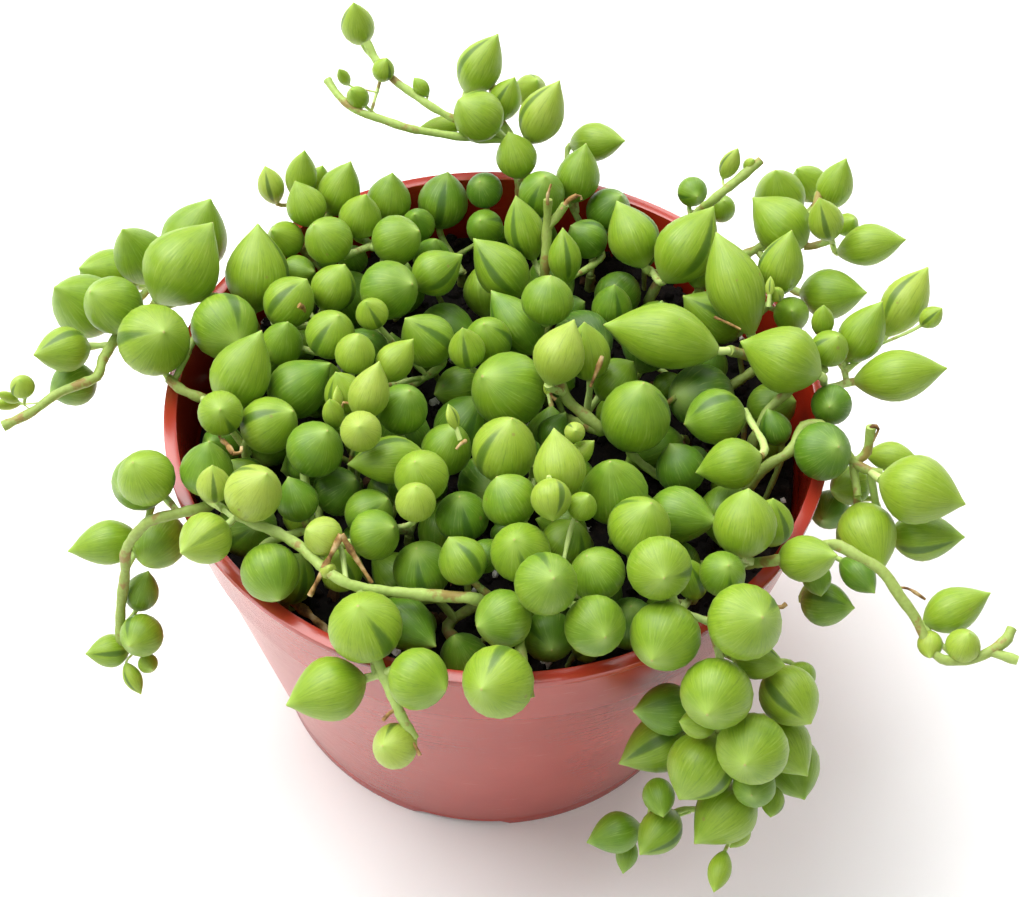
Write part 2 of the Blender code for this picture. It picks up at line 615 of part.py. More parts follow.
def settle_sizes(leaves):
    """Slims leaves that still touch another, by a fifth at most, and leaves out those that still do."""
    kept = list(leaves)
    for leaf in kept:
        leaf["share"] = 1.0
    for _ in range(SHRINK_TRIES):
        pairs = touching_pairs(kept)
        if not pairs:
            return kept
        for first, second, amount in pairs:
            for leaf in (kept[first], kept[second]):
                slimmer = max(SMALLEST_SHARE, leaf["share"] - min(0.06, amount / leaf["width"]))
                leaf["width"] *= slimmer / leaf["share"]
                leaf["share"] = slimmer
    while True:
        pairs = touching_pairs(kept)
        if not pairs:
            return kept
        first, second, _ = max(pairs, key=lambda row: row[2])
        lower = first if kept[first]["middle"][2] < kept[second]["middle"][2] else second
        kept.pop(lower)


def touching_pairs(leaves):
    """Pairs of leaves of different strands nearer to each other than the gap, and by how much."""
    middles = np.array([leaf["middle"] for leaf in leaves])
    centres, radii = balls_of(leaves, middles)
    strands = np.array([leaf["strand"] for leaf in leaves])
    line = centres[:, None, :, None, :] - centres[None, :, None, :, :]
    distance = np.linalg.norm(line, axis=4)
    deep = radii[:, None, :, None] + radii[None, :, None, :] + GAP * 0.6 - distance
    deep = deep.max(axis=(2, 3))
    np.fill_diagonal(deep, 0)
    deep[strands[:, None] == strands[None, :]] = 0
    return [(a, b, deep[a, b]) for a, b in zip(*np.nonzero(np.triu(deep) > 0.0))]


def place_roots(leaves, routes):
    """A root for each strand: under its own leaves or its stem's start, inside the pot and apart."""
    names = list(LEAVES)
    roots = []
    for name in names:
        if name in ROOTS:
            roots.append(np.array(ROOTS[name]))
            continue
        own = np.array([leaf["middle"][:2] for leaf in leaves if leaf["strand"] == name])
        roots.append(own.mean(axis=0))
    roots = np.array(roots)
    for _ in range(80):
        line = roots[:, None] - roots[None]
        distance = np.linalg.norm(line, axis=2) + 1e-9
        deep = np.where((distance < ROOT_SPACING) & (distance > 1e-6), ROOT_SPACING - distance, 0)
        roots = roots + np.sum(line / distance[:, :, None] * deep[:, :, None], axis=1) * 0.3
        across = np.linalg.norm(roots, axis=1)
        roots = roots * np.minimum(1.0, ROOT_RING / np.maximum(across, 1e-6))[:, None]
    return dict(zip(names, roots))


def leaf_base(leaf):
    return leaf["middle"] - leaf["axis"] * leaf["length"] / 2


def own_balls(leaves, test):
    """Centres and radii of the balls of the leaves that pass a test."""
    chosen = [leaf for leaf in leaves if test(leaf)]
    if not chosen:
        return np.zeros((0, 3)), np.zeros(0)
    centres, radii = balls_of(chosen, np.array([leaf["middle"] for leaf in chosen]))
    return centres.reshape(-1, 3), radii.reshape(-1)


def clearance(points, radius, centres, radii):
    """The smallest gap between a stem along these points and the balls."""
    if not len(centres):
        return 99.0
    distance = np.linalg.norm(points[:, None, :] - centres[None, :, :], axis=2)
    return float((distance - radii[None, :]).min() - radius)


def ball_clearance(first, second):
    """The smallest gap between two sets of balls."""
    if not len(second[0]):
        return 99.0
    distance = np.linalg.norm(first[0][:, None, :] - second[0][None, :, :], axis=2)
    return float((distance - first[1][:, None] - second[1][None, :]).min())


def clear_of_pot(points, radius):
    for point in points:
        if point[2] < radius + GAP:
            return False
        across = math.hypot(point[0], point[1])
        over = point[2] - POT_HEIGHT
        if over < radius + GAP:
            inner, outer = wall_radii(min(point[2], POT_HEIGHT))
            outer = RIM_RADIUS if over > -LIP_HEIGHT - radius - GAP else outer
            if inner - radius - GAP < across < outer + radius + GAP:
                return False
            if across <= inner and point[2] < SOIL_TOP + radius + GAP:
                return False
    return True


NEAREST_TRIED = 40
LEAST_CLEAR = 0.12
CROSSING_COST = 6.0
TURN_COST = 2.0
SHORTEST_STALK = 0.8
LONGEST_STALK = 40.0
EASY_TURN = -0.1
SHARPEST_TURN = -0.7
SHARP_COST = 12.0


def best_stalk(leaf, tree, own, foreign, taken, limit):
    """The cheapest clear way to the leaf's base from a point of the tree, as (cost, start, way)."""
    base = leaf_base(leaf)
    order = np.argsort(np.linalg.norm(tree - base, axis=1))[:NEAREST_TRIED]
    best = None
    for start in tree[order]:
        length = np.linalg.norm(base - start)
        if length < SHORTEST_STALK or length > limit:
            continue
        turn = float((base - start) @ leaf["axis"]) / length
        way = sampled(np.array([start, base]), 0.8)
        if turn < SHARPEST_TURN or not clear_of_pot(way[1:], NECK_RADIUS):
            continue
        if clearance(way, NECK_RADIUS, *foreign) < LEAST_CLEAR:
            continue
        if clearance(way, NECK_RADIUS, *taken) < LEAST_CLEAR:
            continue
        crossed = max(0.0, -clearance(way, NECK_RADIUS, *own))
        cost = length + CROSSING_COST * crossed + TURN_COST * (1 - turn)
        cost += SHARP_COST if turn < EASY_TURN else 0.0
        if cost < limit:
            best = (cost, start, way)
            limit = cost
    return best


def grow_strand(name, leaves, root, routes, taken):
    """Joins each leaf of a strand to its stem by the shortest clear way, from the root outwards."""
    trunk_top = np.array([root[0], root[1], SOIL_TOP + 2.0])
    tree = [trunk_top]
    stems = [np.array([trunk_top])]
    if name in routes:
        first = routes[name][0]
        lead = trunk_lead(trunk_top, first[0], name, leaves, taken)
        stems = [np.vstack([lead, first[1:]])] + routes[name][1:]
        for stem in stems:
            tree += list(sampled(stem, 1.5))
    foreign = own_balls(leaves, lambda leaf: leaf["strand"] != name)
    waiting = [leaf for leaf in leaves if leaf["strand"] == name]
    grown = []
    while waiting:
        best = None
        for leaf in waiting:
            own = own_balls(waiting + grown, lambda other: other is not leaf)
            found = best_stalk(leaf, np.array(tree), own, foreign, taken, best[0] if best else LONGEST_STALK)
            if found:
                best = (*found, leaf)
        if best is None:
            break
        _, leaf_start, way, leaf = best
        leaf["start"] = leaf_start
        grown.append(leaf)
        waiting = [other for other in waiting if other is not leaf]
        tree += list(way[1:])
    return stems, grown, waiting, np.array(tree)


def adopt(leaf, strands, trees, leaves, routes, roots):
    """Joins a leaf that its own strand can't reach to the nearest strand that can."""
    best = None
    body = own_balls([leaf], lambda other: True)
    for name, tree in trees.items():
        foreign = own_balls(leaves, lambda other: other["strand"] != name and other is not leaf)
        taken = others_taken(name, trees, routes, roots)
        room = min(ball_clearance(body, foreign), ball_clearance(body, taken))
        if room < LEAST_CLEAR:
            continue
        own = own_balls(leaves, lambda other: other["strand"] == name)
        found = best_stalk(leaf, tree, own, foreign, taken, best[0] if best else LONGEST_STALK)
        if found:
            best = (*found, name)
    if best is None:
        return False
    leaf["strand"] = best[3]
    leaf["start"] = best[1]
    strands[best[3]][2].append(leaf)
    trees[best[3]] = np.vstack([trees[best[3]], best[2][1:]])
    return True


def trunk_lead(bottom, top, name, leaves, taken):
    """A bent way from the root to the start of the stem that shows, clear of other strands' leaves."""
    foreign, radii = own_balls(leaves, lambda leaf: leaf["strand"] != name)
    best = None
    for lift in (0.0, 0.25, 0.5, 0.75, 1.0):
        for turn in range(12):
            for reach in (0.0, 4.0, 8.0, 12.0):
                bend = bottom * (1 - lift) + top * lift
                bend = bend + np.array([math.cos(turn), math.sin(turn), 0]) * reach
                bend[2] = max(bend[2], SOIL_TOP + STEM_RADIUS + GAP)
                way = sampled(np.array([bottom, bend, top]), 1.0)
                gap = min(clearance(way, STEM_RADIUS, foreign, radii), clearance(way, STEM_RADIUS, *taken))
                if not clear_of_pot(way, STEM_RADIUS):
                    gap -= 5
                score = min(gap, 0.3) * 20 - reach * 0.1
                if best is None or score > best[0]:
                    best = (score, np.array([bottom, bend, top]))
    return best[1]


def others_taken(name, trees, routes, roots):
    """Balls along every stem and root of the other strands."""
    centres = []
    radii = []
    for other, points in trees.items():
        if other != name:
            centres.append(points)
            radii.append(np.full(len(points), NECK_RADIUS + 0.1))
    for other, lines in routes.items():
        for line in lines:
            if other != name:
                centres.append(sampled(line, 1.0))
                radii.append(np.full(len(centres[-1]), STEM_RADIUS))
    for other, root in roots.items():
        if other != name:
            centres.append(np.array([[root[0], root[1], SOIL_TOP + rise] for rise in (0.0, 1.0, 2.0)]))
            radii.append(np.full(3, STEM_RADIUS))
    return np.concatenate(centres), np.concatenate(radii)


def grow_plant():
    """Every strand as its root, its stems and its leaves, each leaf with the point that it grows from."""
    leaves = read_leaves()
    routes = read_routes()
    make_room(leaves, routes)
    leaves = settle_sizes(leaves)
    roots = place_roots(leaves, routes)
    strands = {}
    trees = {}
    orphans = []
    for name in sorted(LEAVES, key=lambda name: name not in routes):
        taken = others_taken(name, trees, routes, roots)
        stems, grown, waiting, trees[name] = grow_strand(name, leaves, roots[name], routes, taken)
        strands[name] = (roots[name], stems, grown)
        orphans += waiting
    for leaf in orphans:
        if not adopt(leaf, strands, trees, leaves, routes, roots):
            leaves = [other for other in leaves if other is not leaf]
    return strands


def metres(point):
    return Vector([float(value) * MM for value in point])


def clear_scene():
    for old in list(bpy.data.objects):
        bpy.data.objects.remove(old, do_unlink=True)


def new_collection(name, hidden=False):
    collection = bpy.data.collections.new(name)
    collection.hide_render = hidden
    bpy.context.scene.collection.children.link(collection)
    return collection


def material(name, colour, roughness):
    made = bpy.data.materials.new(name)
    made.use_nodes = True
    shader = made.node_tree.nodes["Principled BSDF"]
    shader.inputs["Base Color"].default_value = (*colour, 1)
    shader.inputs["Roughness"].default_value = roughness
    shader.inputs["Metallic"].default_value = 0.0
    made.diffuse_color = (*colour, 1)
    return made


def object_from(name, mesh, collection, finish=None):
    made = bpy.data.objects.new(name, mesh)
    collection.objects.link(made)
    if finish:
        mesh.materials.append(finish)
    return made


def turned(name, profile, steps, collection, finish):
    """A turned solid from an open profile, in millimetres, that starts and ends on the axis."""
    mesh = bpy.data.meshes.new(name)
    points = [(radius * MM, 0.0, height * MM) for radius, height in profile]
    mesh.from_pydata(points, [(index, index + 1) for index in range(len(points) - 1)], [])
    made = object_from(name, mesh, collection, finish)
    screw = made.modifiers.new("turn", "SCREW")
    screw.axis = "Z"
    screw.angle = TAU
    screw.steps = steps
    screw.render_steps = steps
    screw.use_merge_vertices = True
    screw.merge_threshold = 0.00005
    return made


def cut(body, cutter):
    boolean = body.modifiers.new(cutter.name, "BOOLEAN")
    boolean.operation = "DIFFERENCE"
    boolean.solver = "EXACT"
    boolean.operand_type = "OBJECT"
    boolean.object = cutter


def cutter_from(name, bm, collection):
    mesh = bpy.data.meshes.new(name)
    bm.to_mesh(mesh)
    bm.free()
    made = object_from(name, mesh, collection)
    made.hide_render = True
    made.display_type = "WIRE"
    return made


def applied(body):
    """The object with its modifiers worked into its mesh."""
    bpy.context.view_layer.update()
    evaluated = body.evaluated_get(bpy.context.evaluated_depsgraph_get())
    mesh = bpy.data.meshes.new_from_object(evaluated)
    mesh.name = body.name
    body.modifiers.clear()
    body.data = mesh
    return body


def smooth(body, degrees=40):
    body.data.shade_smooth()
    body.data.set_sharp_from_angle(angle=math.radians(degrees))


def pot_profile():
    """Floor centre, up the inside, over the rim, down the outside and in along the underside."""
    collar_foot = POT_HEIGHT - COLLAR_HEIGHT
    inner_foot = wall_radii(FLOOR_TOP + 1.0)[0]
    inner_step = wall_radii(collar_foot - 0.1)[0]
    inner_collar = wall_radii(collar_foot)[0]
    outer_collar = RIM_RADIUS - LIP_OVERHANG
    foot_inner = BASE_RADIUS - FOOT_WIDTH
    return [
        (0.0, FLOOR_TOP),
        (inner_foot - 1.0, FLOOR_TOP),
        (inner_foot, FLOOR_TOP + 1.0),
        (inner_step, collar_foot - 0.8),
        (inner_collar, collar_foot + 0.4),
        (RIM_RADIUS - RIM_WIDTH, POT_HEIGHT),
        (RIM_RADIUS, POT_HEIGHT),
        (RIM_RADIUS, POT_HEIGHT - LIP_HEIGHT),
        (outer_collar, POT_HEIGHT - LIP_HEIGHT - LIP_OVERHANG),
        (outer_collar - COLLAR_DRAFT, collar_foot + COLLAR_STEP),
        (outer_collar - COLLAR_DRAFT - COLLAR_STEP, collar_foot),
        (BASE_RADIUS, NOTCH_HEIGHT + 1.0),
        (BASE_RADIUS, 0.0),
        (foot_inner, 0.0),
        (foot_inner - CHANNEL_DEPTH, CHANNEL_DEPTH),
        (PAD_RADIUS + CHANNEL_DEPTH, CHANNEL_DEPTH),
        (PAD_RADIUS, 0.0),
        (0.0, 0.0),
    ]


NOTCH_TURN = math.radians(-94.6)


def make_pot(parts, cutters):
    finish = material("terracotta_red_plastic", (0.42, 0.09, 0.05), 0.4)
    pot = turned("pot", pot_profile(), TURN_STEPS, parts, finish)
    bm = bmesh.new()
    for index in range(NOTCHES):
        made = bmesh.ops.create_cube(bm, size=1.0)["verts"]
        size = Vector((FOOT_WIDTH * 2.6, NOTCH_WIDTH, NOTCH_HEIGHT * 2)) * MM
        turn = NOTCH_TURN + index * TAU / NOTCHES
        for vertex in made:
            local = Vector((vertex.co.x * size.x, vertex.co.y * size.y, vertex.co.z * size.z))
            local.x += (BASE_RADIUS - FOOT_WIDTH / 2) * MM
            across = local.x * math.cos(turn) - local.y * math.sin(turn)
            up = local.x * math.sin(turn) + local.y * math.cos(turn)
            vertex.co = (across, up, local.z)
    cut(pot, cutter_from("foot_notches", bm, cutters))
    bm = bmesh.new()
    for index in range(DRAINS):
        made = bmesh.ops.create_cone(
            bm, cap_ends=True, segments=10, radius1=DRAIN_RADIUS * MM, radius2=DRAIN_RADIUS * MM,
            depth=FLOOR_TOP * 3 * MM)["verts"]
        turn = (index + 0.5) * TAU / DRAINS
        place = Vector((math.cos(turn), math.sin(turn), 0)) * DRAIN_RING * MM
        bmesh.ops.translate(bm, verts=made, vec=place)
    cut(pot, cutter_from("drain_holes", bm, cutters))
    applied(pot)
    smooth(pot)


SOIL_RINGS = (10.0, 20.0, 30.0, 39.0, 46.5)
SOIL_STEPS = 20


def make_soil(parts, cutters, roots):
    finish = material("dark_potting_soil", (0.02, 0.014, 0.01), 0.95)
    bottom = FLOOR_TOP + GAP
    foot = wall_radii(FLOOR_TOP + 1.0)[0] - 1.0 - GAP
    edge = wall_radii(SOIL_TOP - 0.6)[0] - GAP - 0.2
    step = wall_radii(POT_HEIGHT - COLLAR_HEIGHT - 0.8)[0] - GAP - 0.2
    profile = [(0.0, SOIL_TOP)]
    profile += [(radius, SOIL_TOP) for radius in SOIL_RINGS]
    profile += [
        (edge - 0.6, SOIL_TOP - 1.0),
        (step, POT_HEIGHT - COLLAR_HEIGHT - 1.2),
        (foot + 0.4, bottom + 1.2),
        (foot - 0.8, bottom),
        (0.0, bottom),
    ]
    soil = turned("soil", profile, SOIL_STEPS, parts, finish)
    applied(soil)
    draw = np.random.default_rng(7)
    for vertex in soil.data.vertices:
        across = math.hypot(vertex.co.x, vertex.co.y) / MM
        drop = draw.random() * SOIL_LUMPS
        if vertex.co.z > (SOIL_TOP - 0.5) * MM and across < SOIL_RINGS[-1] + 1:
            vertex.co.z -= drop * MM
    bm = bmesh.new()
    for x, y in roots:
        made = bmesh.ops.create_cone(
            bm, cap_ends=True, segments=HOLE_SIDES, radius1=(STEM_RADIUS + 0.4) * MM,
            radius2=(STEM_RADIUS + 0.4) * MM, depth=2 * HOLE_DEPTH * MM)["verts"]
        bmesh.ops.translate(bm, verts=made, vec=metres((x, y, SOIL_TOP)))
    cut(soil, cutter_from("root_holes", bm, cutters))
    applied(soil)
    smooth(soil, 60)


def tube(name, points, radius, collection):
    """A stem as a closed six-sided mesh, made from a bevelled curve through these points."""
    curve = bpy.data.curves.new(name, "CURVE")
    curve.dimensions = "3D"
    curve.bevel_depth = radius * MM
    curve.bevel_resolution = STEM_BEVEL
    curve.use_fill_caps = True
    spline = curve.splines.new("POLY")
    spline.points.add(len(points) - 1)
    for slot, point in zip(spline.points, points):
        slot.co = (*metres(point), 1.0)
    holder = bpy.data.objects.new(name + "_curve", curve)
    collection.objects.link(holder)
    bpy.context.view_layer.update()
    mesh = bpy.data.meshes.new_from_object(holder.evaluated_get(bpy.context.evaluated_depsgraph_get()))
    bpy.data.objects.remove(holder, do_unlink=True)
    bm = bmesh.new()
    bm.from_mesh(mesh)
    bmesh.ops.remove_doubles(bm, verts=bm.verts, dist=0.000001)
    bmesh.ops.recalc_face_normals(bm, faces=bm.faces)
    bm.to_mesh(mesh)
    bm.free()
    return object_from(name, mesh, collection)


def side_of(direction, hint):
    """A unit vector at right angles to the direction, as near the hint as can be."""
    side = hint - direction * (hint @ direction)
    if np.linalg.norm(side) < 1e-3:
        side = np.cross(direction, [0.3, 0.9, 0.1])
    return side / np.linalg.norm(side)


def leaf_solid(name, leaf, collection):
    """A leaf and its stalk: a five-sided sphere whose rings are moved along the stalk and the leaf."""
    base = leaf_base(leaf)
    axis = leaf["axis"]
    stalk = base - leaf["start"]
    stalk = stalk / np.linalg.norm(stalk)
    neck = (stalk + axis) / np.linalg.norm(stalk + axis)
    half = leaf["width"] / 2
    rings = [
        (leaf["start"], stalk, NECK_RADIUS - 0.08),
        (base, neck, NECK_RADIUS),
    ]
    for share, size in LEAF_RINGS:
        rings.append((base + axis * leaf["length"] * share, axis, half * size))
    ends = (leaf["start"] - stalk * 0.25, leaf["middle"] + axis * leaf["length"] / 2)
    bm = bmesh.new()
    sides = BUD_SIDES if leaf["width"] < BUD_WIDTH else LEAF_SIDES
    bmesh.ops.create_uvsphere(bm, u_segments=sides, v_segments=len(rings) + 1, radius=1.0)
    hint = side_of(axis, np.array([0.0, 0.0, 1.0]))
    for vertex in bm.verts:
        level = math.acos(max(-1.0, min(1.0, -vertex.co.z))) / math.pi * (len(rings) + 1)
        ring = int(round(level))
        if ring == 0 or ring == len(rings) + 1:
            vertex.co = metres(ends[0] if ring == 0 else ends[1])
            continue
        centre, direction, radius = rings[ring - 1]
        first = side_of(direction, hint)
        second = np.cross(direction, first)
        turn = math.atan2(vertex.co.y, vertex.co.x)
        vertex.co = metres(centre + radius * (math.cos(turn) * first + math.sin(turn) * second))
    mesh = bpy.data.meshes.new(name)
    bm.to_mesh(mesh)
    bm.free()
    return object_from(name, mesh, collection)


# These strands' many crossings defeat the exact solver
FUSED_BY_MANIFOLD = (
    "strand_centre_pale", "strand_front_left_shoot", "strand_front_right_hanging", "strand_left_back_inner",
    "strand_left_front_hanging", "strand_left_outer", "strand_right_back_outer")


def make_strand(name, root, stems, leaves, finish, parts):
    """One strand: its stem from the root hole upwards and its leaves, fused into one solid."""
    pieces = new_collection(name + "_pieces")
    bottom = np.array([root[0], root[1], SOIL_TOP - HOLE_DEPTH + GAP])
    trunk = np.vstack([bottom, stems[0]])
    body = tube(name, smooth_trunk(trunk), STEM_RADIUS, parts)
    body.data.materials.append(finish)
    for index, stem in enumerate(stems[1:]):
        tube(f"{name}_branch_{index}", smooth_line(stem, STEM_SPACING), STEM_RADIUS * 0.8, pieces)
    for index, leaf in enumerate(leaves):
        leaf_solid(f"{name}_leaf_{index}", leaf, pieces)
    union = body.modifiers.new("fuse", "BOOLEAN")
    union.operation = "UNION"
    union.operand_type = "COLLECTION"
    union.collection = pieces
    union.solver = "MANIFOLD" if name in FUSED_BY_MANIFOLD else "EXACT"
    applied(body)
    for piece in list(pieces.objects):
        bpy.data.objects.remove(piece, do_unlink=True)
    bpy.data.collections.remove(pieces)
    drop_scraps(body.data)
    smooth(body)
    return body


def drop_scraps(mesh):
    """Keeps only the largest body: the fusing can leave a loose scrap where stalks cross."""
    bm = bmesh.new()
    bm.from_mesh(mesh)
    waiting = set(bm.verts)
    islands = []
    while waiting:
        island = set()
        front = [waiting.pop()]
        while front:
            vertex = front.pop()
            island.add(vertex)
            for edge in vertex.link_edges:
                other = edge.other_vert(vertex)
                if other in waiting:
                    waiting.discard(other)
                    front.append(other)
        islands.append(island)
    largest = max(islands, key=len)
    loose = [vertex for vertex in bm.verts if vertex not in largest]
    bmesh.ops.delete(bm, geom=loose, context="VERTS")
    bm.to_mesh(mesh)
    bm.free()


def smooth_trunk(points):
    """The stem's points: straight up in the hole, then a smooth curve."""
    if len(points) == 2:
        return points
    return np.vstack([points[:1], smooth_line(points[1:], STEM_SPACING)])


def main():
    clear_scene()
    parts = new_collection("potted_string_of_tears")
    cutters = new_collection("cutters", hidden=True)
    strands = grow_plant()
    make_pot(parts, cutters)
    make_soil(parts, cutters, [root for root, _, _ in strands.values()])
    finish = material("succulent_green", (0.22, 0.42, 0.05), 0.45)
    for name, (root, stems, leaves) in strands.items():
        make_strand(name, root, stems, leaves, finish, parts)


main()
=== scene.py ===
# %% [markdown]
# # A potted string of tears
#
# The object is a trailing succulent in an 11 cm nursery pot. Its stems are thin and green, and its
# leaves are swollen, pointed and glossy, with a darker window stripe down their sides.
#
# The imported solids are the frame. Everything here sits where they sit: a finer pot, crumbly soil, and
# for each strand a finer strand with smooth leaves, curved stalks and nodes on its stems.

# %% Load the frame
import json
import math

import bmesh
import bpy
import numpy as np
from mathutils import Matrix, Vector, noise

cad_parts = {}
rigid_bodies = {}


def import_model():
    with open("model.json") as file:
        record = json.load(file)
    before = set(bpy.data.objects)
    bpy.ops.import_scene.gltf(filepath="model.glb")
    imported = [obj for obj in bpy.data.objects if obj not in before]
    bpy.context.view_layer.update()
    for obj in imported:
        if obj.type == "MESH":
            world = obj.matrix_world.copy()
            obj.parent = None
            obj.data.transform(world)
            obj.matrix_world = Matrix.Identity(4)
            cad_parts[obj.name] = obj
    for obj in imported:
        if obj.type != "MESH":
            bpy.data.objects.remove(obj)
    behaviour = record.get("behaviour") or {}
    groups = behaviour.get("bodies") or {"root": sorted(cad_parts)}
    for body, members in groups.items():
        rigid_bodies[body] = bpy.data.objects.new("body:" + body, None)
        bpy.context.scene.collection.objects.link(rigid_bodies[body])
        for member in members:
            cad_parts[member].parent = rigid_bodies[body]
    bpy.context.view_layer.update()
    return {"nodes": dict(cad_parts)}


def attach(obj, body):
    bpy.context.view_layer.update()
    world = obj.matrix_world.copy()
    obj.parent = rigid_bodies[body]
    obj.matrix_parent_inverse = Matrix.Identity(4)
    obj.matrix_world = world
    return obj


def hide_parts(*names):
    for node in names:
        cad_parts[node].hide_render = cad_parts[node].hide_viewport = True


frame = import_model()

strand_nodes = sorted(name for name in frame["nodes"] if name.startswith("strand_"))
print(len(strand_nodes), "strands in the frame")

# %% [markdown]
# ## Sizes
#
# These are the driving sizes of the solids, in millimetres, repeated here because the script reads
# nothing else. One function turns millimetres into Blender's metres.

# %% Sizes
MM = 0.001
TAU = 2 * math.pi

POT_HEIGHT = 72.0
RIM_RADIUS = 55.0
RIM_WIDTH = 2.15
LIP_HEIGHT = 1.4
LIP_OVERHANG = 0.6
COLLAR_HEIGHT = 14.6
COLLAR_DRAFT = 1.5
COLLAR_STEP = 0.6
BASE_RADIUS = 41.0
WALL = 1.1
FOOT_WIDTH = 4.0
PAD_RADIUS = 22.0
CHANNEL_DEPTH = 1.4
FLOOR_TOP = 2.8
NOTCH_WIDTH = 15.0
NOTCH_HEIGHT = 1.2
NOTCHES = 4
NOTCH_TURN = math.radians(-94.6)
DRAIN_RADIUS = 2.4
DRAIN_RING = 30.0
DRAINS = 6

SOIL_BELOW_RIM = 12.0
SOIL_TOP = POT_HEIGHT - SOIL_BELOW_RIM
HOLE_DEPTH = 7.0

GAP = 0.3
STEM_RADIUS = 0.95
NECK_RADIUS = 0.62
ROOT_RING = 42.0
ROOT_SPACING = 5.0

EYE = np.array([2.61, -193.03, 227.84])


def metres(point):
    """A place in millimetres as Blender's vector."""
    return Vector([float(v) * MM for v in point])


def add_object(name, data):
    """A new object in the scene, at the origin."""
    made = bpy.data.objects.new(name, data)
    bpy.context.scene.collection.objects.link(made)
    return made


def finished_mesh(bm, name):
    """The mesh that was being edited, under its name."""
    mesh = bpy.data.meshes.new(name)
    bm.to_mesh(mesh)
    bm.free()
    return mesh


# %% [markdown]
# ## The camera
#
# The photograph looks down at about 51 degrees from some 30 cm away, rolled by under three degrees.
# The viewpoint came from fitting the rim's ellipse. The camera is made first, because the readings of
# the leaves below are places in its view.

# %% Camera
VIEW_DOWN = math.radians(51.3)
VIEW_ROLL = math.radians(2.6)
LENS = 63.3


def make_camera():
    back = Vector((0.0, -math.cos(VIEW_DOWN), math.sin(VIEW_DOWN)))
    right = (-back).cross(Vector((0.0, 0.0, 1.0))).normalized()
    up = right.cross(-back)
    across = math.cos(VIEW_ROLL) * right + math.sin(VIEW_ROLL) * up
    upward = -math.sin(VIEW_ROLL) * right + math.cos(VIEW_ROLL) * up
    camera = add_object("camera", bpy.data.cameras.new("camera"))
    turn = Matrix((across, upward, back)).transposed().to_4x4()
    camera.matrix_world = Matrix.Translation(metres(EYE + np.array([0.0, 0.0, POT_HEIGHT]))) @ turn
    camera.data.lens = LENS
    camera.data.sensor_width = 36.0
    camera.data.clip_start = 0.01
    camera.data.clip_end = 20.0
    bpy.context.scene.camera = camera
    return camera


camera = make_camera()
print("camera at", [round(v * 1000, 1) for v in camera.location], "mm")
